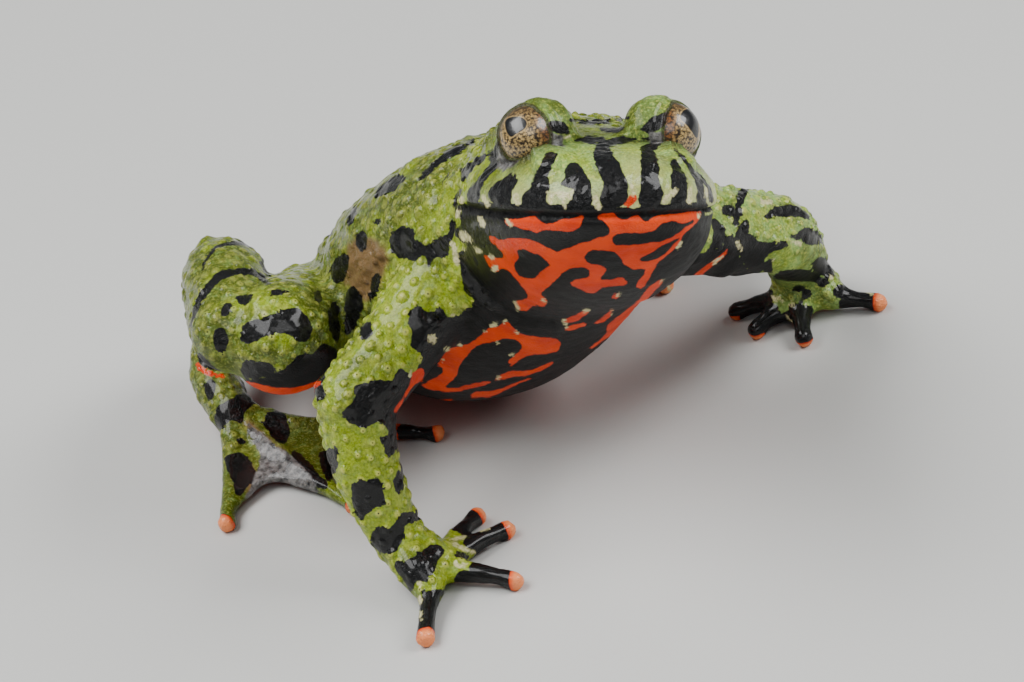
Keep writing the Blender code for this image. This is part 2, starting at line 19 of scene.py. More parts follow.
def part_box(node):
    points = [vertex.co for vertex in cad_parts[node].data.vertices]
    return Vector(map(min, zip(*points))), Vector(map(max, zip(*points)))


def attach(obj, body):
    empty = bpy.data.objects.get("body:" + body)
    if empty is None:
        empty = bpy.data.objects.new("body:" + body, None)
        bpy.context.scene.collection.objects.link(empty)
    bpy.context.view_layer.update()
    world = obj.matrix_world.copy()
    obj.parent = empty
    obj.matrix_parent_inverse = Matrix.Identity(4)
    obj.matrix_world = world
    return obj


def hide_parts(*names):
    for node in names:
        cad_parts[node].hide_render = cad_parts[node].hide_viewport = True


bl_info = {
    "name": "Fire-bellied toad",
    "version": (1, 0, 0),
    "blender": (4, 5, 0),
    "location": "3D View > Sidebar > Toad",
    "description": "Skin, warts, eyes and stage of a sitting fire-bellied toad",
    "category": "Object",
}

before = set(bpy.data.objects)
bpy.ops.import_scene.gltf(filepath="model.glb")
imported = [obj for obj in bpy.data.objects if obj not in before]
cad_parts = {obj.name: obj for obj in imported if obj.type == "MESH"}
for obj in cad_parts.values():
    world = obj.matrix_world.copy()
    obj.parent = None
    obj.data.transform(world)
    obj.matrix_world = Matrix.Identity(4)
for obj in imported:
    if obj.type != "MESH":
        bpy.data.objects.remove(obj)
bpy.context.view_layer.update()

MM = 0.001
UP = Vector((0, 0, 1))
SIDES = (-1, 1)
FLESH = tuple(sorted(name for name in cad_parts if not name.startswith("eye_")))

# The head's own frame: x to the toad's left, y back, z up, in millimetres
HEAD = Vector((4.47, 5.05, 20.27))
HEAD_TURN = (
    Matrix.Rotation(math.radians(-6.2), 3, "Z")
    @ Matrix.Rotation(math.radians(-19.6), 3, "X")
    @ Matrix.Rotation(math.radians(18.0), 3, "Y")
)
EYE_PLACE = Vector((4.0, -4.3, 3.4))
EYE_BALL = 1.74

# The front view: where the camera stands, and the picture's units
VIEW_AZIMUTH = math.radians(-17.2)
VIEW_HEIGHT = math.radians(30.8)
VIEW_ROLL = math.radians(14.4)
VIEW_AIM = Vector((-2.41, 3.19, 13.87))
VIEW_DISTANCE = 250.0
PICTURE = (1024.0, 682.0)
PICTURE_FOCUS = 4400.0
SENSOR = 36.0

# How far from a mark's edge its field is kept, and how much of it counts where drawn and noisy
# markings meet, in millimetres
REACH = 1.5
EDGE = 0.5

# The least length that is divided by, and how far apart the noises of two seeds are
TINY = 1e-9
NOISE_STEP = (17.3, 5.1, 9.7)

# How close points of one solid are merged, in millimetres, and how finely balls are cut
MERGE = 0.0005
SOCKET_CUTS = 4
EYE_CUTS = 6

# From here to the markings, lengths are in millimetres and places are in the head's frame, unless
# a comment says otherwise. A swelling has its height, middle and width, a band its middle and
# width, and a fade the values at which it is none and full. A noise has its lumps' size and its
# seed, and a relief's noises also have their height first.

# The face: how far back, down and to each side it goes
FACE_BACK = -1.5
FACE_LOW = -3.2
FACE_HALF = 7.6

# The mouth: height of its line along y, the lips across that line, and the nostrils
MOUTH_Y = (-11.2, -10.2, -8.6, -6.4, -4.0, -0.2, 2.6)
MOUTH_HEIGHT = (-0.42, -0.44, -0.52, -0.65, -0.76, -0.9, -1.3)
MOUTH_HALF = 9.0
LIPS = ((-0.22, 0.0, 0.13), (0.1, 0.36, 0.28), (0.05, -0.32, 0.22))
LIPS_FADE = (1.2, -0.2)
NOSTRIL = (1.6, -10.1, 2.07)
NOSTRIL_STRETCH = (1.0, 0.6, 1.3)
NOSTRIL_RIM = ((-0.32, 0.0, 0.15), (0.06, 0.36, 0.16))

# The snout's shoulders, which are pressed in so that both eyes look out over them
DENT = Vector((4.0, -7.6, 2.6))
DENT_WIDTH = 1.3
DENT_LENGTH = 1.5
DENT_DEPTH = 0.75
DENT_FOOT = 1.0

# The solid's own steps that are evened out: between the jaws, and where the head joins the back
JAW_BAND = (0.1, 0.55)
JAW_FADE = (3.0, 1.5)
JAW_ROUNDS = 14
NAPE_BAND = (5.5, 2.4)
NAPE_FADE = (0.6, 2.0)
NAPE_HALF = 8.0
NAPE_ROUNDS = 90

# Steps of a smoothing round towards the neighbours' mean, where a slightly longer step back keeps
# the size, and the rounds that the face gets once its mesh is finer
EVEN_STEPS = (0.5, -0.53)
SOFT_STEPS = (0.5,)
FACE_ROUNDS = 4

# Eyelids: the opening's reach from its axis, in degrees, by clock angle from the nose, and the
# skin round it, by distance from the opening's edge and height over the eyeball. The zones are how
# far from an eye's middle the lids are shaped and the mesh is finest.
LID_AXIS = Vector((0.48, -0.78, 0.4))
LID_REACH = (48.0, 43.0, 59.0, 62.0, 61.0, 72.0, 54.0, 65.0)
LID_ZONE = 3.6
LID_STEEP = 1.4
LID_HIDDEN = -0.4
LID_EDGE = 0.1
LID_ROLL = ((0.05, 0.16, 0.09),)
LID_CREASE = ((0.08, 0.5, 0.1),)
LID_LEAST = 0.12
LID_MOST = 0.16
LID_SLOPE = 0.42
LID_CURVE = 1.5
LID_FADE = (0.1, 0.6)
EYE_ZONE = 2.7

# The lids' dark edge and the grey band under each eye, whose top is a share of the eyeball
RIM_FADE = (0.24, 0.1)
RIM_ZONE = 0.28
UNDER_LID_TOP = -0.25
UNDER_LID_MIDDLE = 0.4
UNDER_LID_HALF = 0.3
UNDER_LID_ZONE = 0.8

# Relief of the skin: lumps on its warty part, creases elsewhere, crinkles on the snout, and the
# drawn folds with a low ridge beside them, down to a height over the floor
LUMPS = ((0.09, 1.0, 11), (0.05, 0.55, 12))
CREASES = ((0.035, 0.5, 13), (0.025, 1.4, 14))
CRINKLE_HEIGHT = 0.045
CRINKLE_NOISE = (0.33, 15)
CRINKLE_FADE = (0.2, 0.8)
FOLD_DEPTH = 0.22
FOLD_FADE = (-0.34, 0.05)
FOLD_RIDGE = ((0.07, -0.6, 0.2),)
FOLD_LOWEST = 3.0

# What the front view sees: how far a face may turn away, how far over the skin a line of sight
# starts and how far it goes, and the rounds by which what is seen is widened and blurred
SIGHT_TURN = -0.03
SIGHT_START = 0.3
SIGHT_RANGE = 60.0
BODY_WIDENING = 3
FACE_WIDENING = 9
SEEN_BLUR = 4
SEEN_FADE = (0.15, 0.75)

# Warty skin, by the head's y, the normal's height and the height over the floor
WARTY_BACK = (-2.5, 0.5)
WARTY_TOP = (-0.5, 0.1)
WARTY_HIGH = (0.8, 2.2)

# Noises that carry the markings on where nothing is drawn: size, seed, where each is cut and how
# steep it is there
BELLY_EDGE = (3.2, 1, 0.0, 1.6)
BLOTCHES = (2.6, 2, 0.22, 3.0)
VEINS = (3.4, 3, 0.02, 4.0)
FLECKS = (1.1, 4, 0.42, 2.0)

# The black below: how far the skin turns down before it begins, how steep its edge is there and
# on the throat, how far inside it the orange starts, and the band of cream specks at its edge
BELLY_TURN = 0.2
BELLY_STEEP = 2.2
THROAT_BACK = 1.5
THROAT_STEEP = 1.5
ORANGE_INSET = 0.7
CREAM_MIDDLE = 0.4
CREAM_HALF = 0.6

# Black below the mouth and along the lips
UNDER_START = 0.3
UNDER_FADE = (1.0, -0.5)
UNDER_DEPTHS = (-1.0, 3.0)
UNDER_HALF = 7.2
LIP_HALF = 0.16
LIP_BACK = 1.0

# Each hand and foot, in stance millimetres: its middle, how far its dark fingers reach back from
# the pads, and its pads, each with the height that its orange reaches
LIMB_ENDS = {
    "right hand": (
        (-12.2, 5.2),
        2.6,
        ((-5.7, 8.1, 2.0), (-4.9, 5.6, 2.0), (-6.7, 0.5, 2.0), (-13.1, -1.0, 2.0)),
    ),
    "left hand": (
        (20.0, 15.5),
        2.2,
        ((16.6, 17.3, 0.5), (16.5, 14.4, 0.5), (18.3, 11.5, 0.5), (23.7, 11.8, 2.0)),
    ),
    "right foot": (
        (-13.0, 21.0),
        0.2,
        ((-8.6, 23.4, 2.0), (-6.2, 20.6, 2.0), (-3.9, 18.3, 2.0), (-11.1, 14.6, 2.0),
         (-18.0, 18.4, 2.0)),
    ),
    "left foot": (
        (15.0, 28.0),
        0.2,
        ((10.6, 27.6, 2.0), (9.4, 25.2, 2.0), (10.2, 23.4, 2.0), (14.6, 23.4, 2.0),
         (19.2, 25.4, 2.0)),
    ),
}
PAD_HEIGHT = 0.54
PAD_REACH = 1.15
PAD_BACK = 0.15
PAD_FRONT = 1.0
PAD_TOP_SLOPE = 1.5
TOE_DARK = 3.2

# Tints of the green: paler at the lips and down the snout's ridge, cooler on the face and the left
# arm, darker on the crown, and darker on the rear as painted shade. The arm and the rear are in
# stance millimetres.
LIP_FADES = ((3.0, 0.3), (-0.5, 0.0))
RIDGE_BAND = (0.8, 1.8)
RIDGE_FADE = (4.2, 2.0)
RIDGE_SHARE = 0.7
RIDGE_WARMTH = 0.6
PALE_FADE = (-3.5, -6.5)
COOL_FADES = ((-3.5, -7.5), (-0.4, 0.6))
CROWN_FADES = ((1.6, 3.2), (-8.0, -5.5))
ARM_FADES = ((7.0, 10.0), (16.0, 12.0))
REAR_FADE = (6.0, 17.0)

# Painted light: where the green is painted brighter, on the hind leg's thigh and the right arm, as
# middle and reach in the picture's units
LIT = ((278, 318, 42, 32), (372, 480, 32, 60), (400, 300, 30, 40))
LIT_SHARE = 1.1

# Gloss: less on the lips and the crown, and none where the normal points down
DRY_LIPS = (-0.15, 0.4)
DRY_LIPS_BACK = 1.0
DRY_CROWN_ACROSS = (0.0, 3.2)
DRY_CROWN_ALONG = (-4.0, 3.4)
DRY_CROWN_FOOT = 1.5
DRY_CROWN_SHARE = 0.8
GLOSS_FADE = (-0.35, 0.2)

# Warts: the rings of a dome, as shares of its radius, the last of which sinks into the skin, and
# where fewer or lower ones stand
WART_SIDES = 8
WART_RINGS = (0.4, 0.75, 1.05)
WART_ROUNDNESS = 1.3
WART_SINK = 0.05
WART_LEAST = 0.35
WART_RADII = (0.7, 1.25)
WART_HEIGHTS = (0.6, 1.3)
BLACK_FADE = (-0.1, 0.2)
BLACK_LOSS = 0.55
RUMP_FADE = (13.0, 19.0)
RUMP_LOSS = 0.5

# How the markings' edges look in the material: grain, raggedness and softness
EDGES = {
    "tan": (1.2, 0.6, 0.25),
    "dark": (2.2, 0.32, 0.04),
    "orange": (2.2, 0.18, 0.04),
    "cream": (4.2, 0.34, 0.07),
    "lid": (1.6, 0.3, 0.07),
}

# The skin's fields that its warts share
SKIN_FIELDS = (*EDGES, "pad", "pebble", "pale", "cool", "shade_and_light", "gloss")

# Lights: direction from the aim, towards the camera, to its right and up, distance, width and
# height in metres, and share of the power
LIGHTS = {
    "key": ((0.39, -0.68, 0.62), 0.34, 0.34, 0.2, 1.08),
    "second": ((0.42, 0.6, 0.68), 0.34, 0.22, 0.17, 0.7),
    "front": ((0.9, 0.0, 0.3), 0.4, 0.2, 0.2, 0.2),
}

# Markings. Points with two numbers are a patch's outline; with three they are a stroke's centre
# line and half width. All are in the picture's units. A few are painted shade and painted
# highlights, as their comments say.
DARK = {
    "crown": (
        ((588, 122, 2.2), (597, 122.5, 3.4), (608, 121.5, 2)),
        ((602, 129.5, 2), (612, 130.5, 3.2), (623, 128.5, 2)),
        ((571, 119.5, 1.6), (583, 122, 2.2)),
        ((617, 121, 1.8), (628, 117.5, 1.6)),
        # The next two strokes are painted shade in the nostrils' openings
        ((598.5, 168, 1.3), (601, 170, 1.3)),
        ((655.5, 167, 1.2), (658, 169, 1.2)),
        ((547, 124), (552, 121), (558, 120), (563, 121), (568, 126), (571, 132), (566, 135),
         (560, 135), (554, 132), (549, 128)),
        ((550, 143, 0.8), (556, 141, 1.2), (563, 138.5, 0.8)),
        ((640, 129), (647, 121), (655, 115), (669, 112), (669, 119), (663, 126), (656, 132),
         (649, 132)),
        ((641, 129, 0.8), (652, 133.5, 1.3), (663, 136, 1)),
        ((572, 149, 2.4), (575, 145, 4), (582, 142, 5), (591, 140, 4.4), (601, 140, 3.5)),
        ((605, 145, 2.6), (611, 142, 4), (621, 140, 4.2), (634, 141, 3)),
        ((642, 139, 1.4), (652, 138.5, 2), (661, 142, 1.8)),
    ),
    "face stripes": (
        ((597, 145), (602, 139), (606, 139), (610, 148), (614, 156), (621, 166), (626, 178),
         (629, 186), (628, 198), (622, 208), (608, 210), (601, 205), (600, 196), (604, 186),
         (600, 176), (596, 166), (593, 154), (594, 148)),
        ((564, 170), (567, 164), (574, 161), (580, 164), (583, 170), (588, 178), (592, 186),
         (592, 194), (594, 202), (588, 210), (570, 211), (566, 206), (572, 197), (575, 192),
         (570, 188), (562, 186), (561, 182), (566, 178)),
        ((548, 152), (556, 151), (559, 154), (554, 162), (550, 172), (548, 180), (551, 186),
         (549, 192), (545, 199), (549, 206), (544, 210), (524, 210), (520, 203), (521, 195),
         (530, 189), (531, 184), (534, 178), (538, 168), (543, 158)),
        ((511, 171), (516, 172), (518, 178), (516, 186), (512, 190), (513, 196), (511, 202),
         (512, 209), (496, 208), (491, 202), (487, 196), (490, 188), (496, 180), (504, 173)),
        ((488, 170), (486, 176), (483, 184), (480, 192), (480, 200), (476, 204), (468, 201),
         (466, 194), (469, 188), (474, 183), (480, 176), (486, 169)),
        ((486, 153), (488, 156), (480, 164), (472, 170), (468, 177), (463, 182), (461, 180),
         (460, 172), (462, 168), (472, 162), (480, 155)),
        ((461, 190, 1.3), (457, 197, 2.3), (456, 206, 2.5), (458, 214, 2.5)),
        ((640, 140), (645, 140), (650, 142), (654, 150), (658, 160), (660, 170), (659, 178),
         (662, 188), (665, 194), (661, 200), (656, 210), (642, 208), (639, 202), (637, 197),
         (640, 192), (641, 184), (642, 174), (640, 164), (642, 154), (639, 146)),
        ((669, 158), (675, 159), (682, 168), (687, 178), (689, 190), (687, 202), (683, 209),
         (672, 209), (668, 204), (672, 198), (673, 192), (670, 186), (671, 176), (672, 168)),
        ((671, 147, 1.2), (680, 154, 1.8), (690, 166, 2.4), (697, 178, 3.4), (701, 190, 4.3),
         (701, 203, 5)),
        ((696, 170, 1), (703, 180, 1.4), (709, 188, 2), (711, 200, 2.8)),
        ((498, 139), (500, 145), (499, 155), (500, 160), (503, 166), (497, 170), (491, 169),
         (491, 162), (492, 152), (495, 145)),
        ((466, 204, 2.5), (478, 205, 3.5), (490, 207, 4), (530, 208.5, 4.5), (570, 209, 4.5),
         (600, 209.5, 4), (622, 209.5, 3.5), (634, 210.5, 2.2), (645, 209.5, 3.5), (664, 208.5, 4.5),
         (704, 205.5, 4)),
    ),
    "throat and chest": (
        ((463, 206), (476, 205), (490, 207), (530, 208), (600, 208), (630, 208), (660, 208),
         (708, 205), (703, 222), (699, 232), (696, 236), (698, 244), (696, 250), (700, 254),
         (708, 250), (718, 250), (726, 238), (735, 232), (736, 246), (742, 262), (750, 272),
         (757, 280), (757, 300), (740, 320), (700, 350), (640, 400), (560, 450), (450, 470),
         (402, 470), (402, 500), (394, 490), (393, 478), (400, 466), (400, 452), (396, 449),
         (392, 454), (388, 459), (385, 452), (384, 446), (381, 442), (379, 436), (388, 436),
         (388, 430), (384, 425), (376, 422), (368, 427), (360, 428), (352, 424), (347, 418),
         (342, 413), (352, 403), (356, 397), (352, 390), (358, 383), (366, 384), (376, 379),
         (386, 381), (394, 380), (396, 374), (400, 366), (404, 371), (413, 375), (419, 366),
         (424, 358), (418, 351), (410, 347), (412, 334), (409, 327), (407, 318), (412, 308),
         (419, 304), (425, 311), (432, 314), (436, 308), (443, 308), (446, 318), (455, 318),
         (462, 312), (478, 300), (464, 293), (463, 284), (458, 262), (459, 250), (470, 247),
         (474, 243), (466, 243), (458, 240), (454, 234), (457, 228), (462, 222), (461, 214)),
    ),
    "shoulder": (
        ((390, 236), (396, 229), (404, 226), (412, 227), (416, 232), (414, 240), (411, 245),
         (417, 238), (420, 243), (426, 246), (434, 240), (442, 236), (449, 232), (449, 222),
         (455, 220), (458, 228), (453, 236), (450, 246), (449, 256), (440, 258), (433, 258),
         (430, 268), (427, 266), (427, 255), (420, 256), (417, 262), (408, 259), (398, 258),
         (392, 252), (389, 244)),
        ((365, 322), (372, 322), (374, 330), (370, 338), (366, 342), (360, 337), (359, 331),
         (362, 326)),
        ((316, 386), (324, 388), (328, 396), (322, 402), (316, 398)),
        ((318, 452), (326, 450), (334, 447), (338, 447), (340, 460), (338, 468), (334, 474),
         (332, 480), (328, 482), (324, 475), (320, 465)),
        ((352, 482), (360, 478), (370, 480), (380, 477), (383, 488), (386, 500), (382, 507),
         (372, 510), (366, 515), (362, 522), (358, 516), (354, 510), (352, 500), (350, 492)),
        ((372, 530), (380, 526), (390, 527), (396, 521), (401, 512), (412, 512), (420, 511),
         (430, 515), (438, 519), (447, 524), (440, 529), (434, 526), (430, 523), (424, 520),
         (412, 521), (405, 526), (403, 531), (406, 534), (403, 539), (399, 545), (396, 552),
         (390, 554), (380, 553), (374, 548), (370, 540)),
        ((343, 415, 2), (352, 420, 4), (362, 422, 5), (374, 416, 5)),
    ),
    "right hand": (
        ((395, 560), (402, 561), (412, 558), (418, 553), (424, 550), (427, 546), (434, 544),
         (440, 545), (444, 549), (445, 552), (441, 556), (438, 562), (436, 567), (434, 572),
         (431, 579), (427, 582), (421, 582), (416, 580), (414, 586), (412, 592), (412, 598),
         (409, 592), (405, 582), (398, 572), (394, 567)),
        ((415, 610), (420, 613), (424, 603), (424, 597), (421, 592), (427, 590), (436, 590),
         (443, 587), (441, 597), (438, 607), (436, 618), (435, 634), (412, 634), (412, 618)),
        ((454, 576), (460, 571), (475, 568), (485, 573), (505, 574), (508, 592), (470, 594),
         (452, 591), (446, 592), (442, 598), (438, 596), (445, 587), (455, 583)),
        ((456, 550), (462, 553), (468, 556), (470, 559), (465, 561), (460, 559), (454, 557)),
        ((462, 541), (468, 537), (476, 535), (482, 530), (490, 529), (501, 529), (505, 538),
         (497, 543), (486, 548), (478, 552), (470, 549), (463, 545)),
        ((432, 519), (438, 513), (447, 512), (455, 514), (462, 509), (470, 506), (476, 512),
         (479, 520), (475, 528), (468, 534), (460, 535), (452, 529), (440, 528), (434, 525)),
    ),
    "back": (
        ((418, 181), (423, 172), (432, 163), (440, 157), (443, 152), (453, 147), (460, 143),
         (465, 145), (467, 148), (460, 154), (448, 160), (440, 165), (432, 172), (425, 178),
         (420, 182)),
        ((463, 145), (470, 139), (475, 139), (476, 142), (468, 147)),
        ((375, 197), (377, 188), (385, 183), (393, 176), (402, 174), (407, 177), (405, 181),
         (398, 185), (397, 190), (387, 194), (377, 198)),
        ((351, 207), (358, 207), (357, 214), (354, 222), (349, 226), (346, 224), (350, 215)),
        ((371, 222), (377, 218), (383, 219), (381, 223), (375, 225)),
        ((357, 232), (364, 230), (368, 236), (367, 246), (364, 253), (358, 251), (355, 243)),
        ((443, 185, 1.2), (447, 177, 1.3), (451, 171, 1)),
        ((325, 232), (330, 228), (334, 232), (331, 238), (326, 237)),
    ),
    "flank": (
        ((331, 275), (330, 268), (336, 258), (342, 254), (348, 253), (350, 262), (347, 272),
         (344, 280), (338, 285), (333, 283)),
        ((345, 296), (348, 289), (352, 285), (357, 289), (362, 294), (364, 305), (358, 322),
         (352, 332), (346, 338), (344, 325), (347, 315), (343, 309), (346, 301)),
        ((331, 303), (336, 300), (340, 306), (338, 318), (341, 330), (338, 345), (333, 340),
         (329, 328), (328, 312)),
        ((372, 277), (378, 272), (382, 277), (380, 288), (374, 300), (369, 303), (370, 290)),
        ((313, 292), (319, 290), (323, 297), (321, 303), (315, 301)),
    ),
    "hind leg": (
        ((202, 269, 1.3), (206, 260, 1.6), (213, 250, 1.9), (223, 244, 1.9), (235, 242.5, 1.9),
         (247, 244, 2), (257, 249, 2), (263, 257, 2), (269, 267, 1.8)),
        ((260, 262, 1.3), (264, 268, 2), (268, 276, 1.8)),
        ((190, 327, 1.3), (193, 317, 2), (198, 302, 3), (205, 292, 4), (213, 282, 4.5), (222, 274, 4),
         (233, 272.5, 3.5), (245, 271, 3.5), (255, 272.5, 3), (262, 278, 2.5), (268, 284, 2.3)),
        ((233, 298), (240, 295), (248, 294), (253, 296), (250, 303), (243, 306), (237, 303)),
        ((222, 305), (230, 302), (232, 308), (229, 315), (224, 318), (220, 314)),
        ((214, 330), (220, 327), (227, 330), (229, 338), (226, 350), (223, 353), (216, 350),
         (213, 342)),
        ((240, 328), (245, 323), (255, 319), (265, 318), (272, 314), (282, 310), (295, 307.5),
         (305, 312), (312, 323), (313, 332), (308, 340), (303, 343), (295, 340), (288, 333),
         (280, 333), (272, 335), (262, 338), (255, 342), (247, 345), (242, 340)),
        ((268, 295), (272, 290), (282, 289), (293, 291.5), (282, 295), (272, 296.5)),
        ((240, 365), (247, 359), (258, 362), (268, 362), (278, 370), (272, 375), (258, 378),
         (242, 379)),
        ((197, 352), (202, 354), (208, 362), (217, 368), (222, 371), (215, 372), (205, 368),
         (198, 362)),
        ((237, 381), (265, 378), (282, 370), (292, 362), (298, 355), (307, 354), (313, 355),
         (318, 350), (322, 342), (330, 345), (340, 352), (332, 364), (325, 378), (318, 394),
         (300, 404), (270, 402), (255, 396), (245, 390)),
        ((207, 380), (213, 378), (216, 386), (214, 398), (210, 402), (205, 396), (204, 388)),
    ),
    "foot": (
        # The first patch is partly the foot's own black and partly painted shadow between the ankle
        # and the toes
        ((215, 408), (225, 402), (240, 393), (252, 392), (262, 400), (250, 408), (243, 412),
         (245, 425), (235, 420), (228, 422), (220, 432), (214, 424)),
        ((262, 418), (270, 411), (280, 410), (288, 418), (290, 435), (286, 445), (278, 443),
         (270, 435), (264, 427)),
        ((227, 455), (237, 452.5), (247, 454), (251, 462), (255, 470), (260, 477), (263, 480),
         (257, 483), (248, 483), (245, 493), (240, 497), (233, 493), (235, 485), (230, 477),
         (226, 468), (224, 460)),
        ((236, 439), (243, 437), (246, 442), (242, 446), (237, 444)),
        ((262, 453), (272, 450), (282, 452), (278, 458), (268, 461), (262, 459)),
        ((266, 472), (273, 470), (277, 480), (281, 487), (275, 488), (270, 480)),
        ((290, 452), (296, 450), (305, 458), (314, 468), (322, 478), (330, 488), (322, 490),
         (314, 484), (306, 475), (298, 466), (292, 458)),
    ),
    "left arm": (
        ((740, 188), (745, 184), (750, 185), (749, 192), (744, 200), (741, 212), (740, 222),
         (735, 228), (731, 222), (735, 212), (736, 200), (737, 193)),
        ((719, 207), (728, 204), (734, 205), (736, 210), (738, 216), (732, 218), (726, 216),
         (720, 212)),
        ((712, 218), (718, 220), (724, 228), (726, 238), (722, 246), (714, 250), (708, 248),
         (712, 240), (714, 232), (710, 224)),
        ((690, 232), (696, 236), (698, 244), (696, 250), (700, 254), (708, 250), (718, 250),
         (712, 256), (704, 260), (694, 260), (690, 256), (694, 248), (690, 240)),
        ((740, 224), (746, 218), (749, 222), (746, 230), (752, 236), (760, 242), (772, 242),
         (785, 240), (790, 246), (780, 250), (768, 252), (764, 262), (762, 270), (757, 280),
         (750, 272), (742, 262), (736, 250), (732, 244), (735, 232)),
        ((770, 210), (780, 205), (792, 204), (800, 208), (808, 214), (812, 220), (804, 218),
         (796, 217), (784, 217), (772, 218), (764, 220), (762, 218)),
        ((788, 236), (798, 233), (804, 227), (814, 229), (820, 236), (824, 244), (816, 245),
         (808, 245), (800, 240), (792, 239)),
        ((812, 262), (820, 257), (828, 262), (832, 272), (826, 278), (818, 274), (812, 268)),
        ((772, 276), (780, 271), (791, 269), (802, 269), (811, 271), (816, 272), (821, 277),
         (829, 279), (828, 285), (824, 288), (819, 286), (815, 282), (806, 282), (795, 282),
         (785, 281), (777, 280)),
        ((819, 255), (827, 259), (830, 265), (836, 273), (834, 278), (825, 276), (817, 271),
         (812, 266), (811, 262), (817, 260)),
        ((763, 262), (770, 258), (774, 262), (772, 268), (774, 271), (768, 274), (762, 272)),
    ),
    "left hand": (
        ((791, 291), (795, 285), (802, 285), (807, 289), (813, 292), (812, 296), (807, 300),
         (800, 300), (792, 299), (800, 296), (803, 293), (797, 291)),
        ((831, 294), (836, 286), (843, 284), (849, 286), (855, 290), (862, 291), (870, 292),
         (875, 296), (872, 301), (868, 303), (857, 302), (845, 299), (837, 298)),
        ((757, 281), (750, 283), (742, 288), (736, 294), (733, 303), (737, 310), (745, 309),
         (751, 304), (755, 297), (757, 290)),
        ((757, 289), (764, 286), (771, 288), (774, 293), (772, 300), (770, 306), (767, 313),
         (765, 322), (758, 328), (751, 327), (748, 320), (748, 312), (751, 303), (754, 295)),
        ((789, 303), (795, 304), (802, 305), (806, 310), (809, 318), (812, 326), (814, 332),
         (808, 338), (800, 338), (794, 331), (790, 322), (787, 314)),
    ),
}
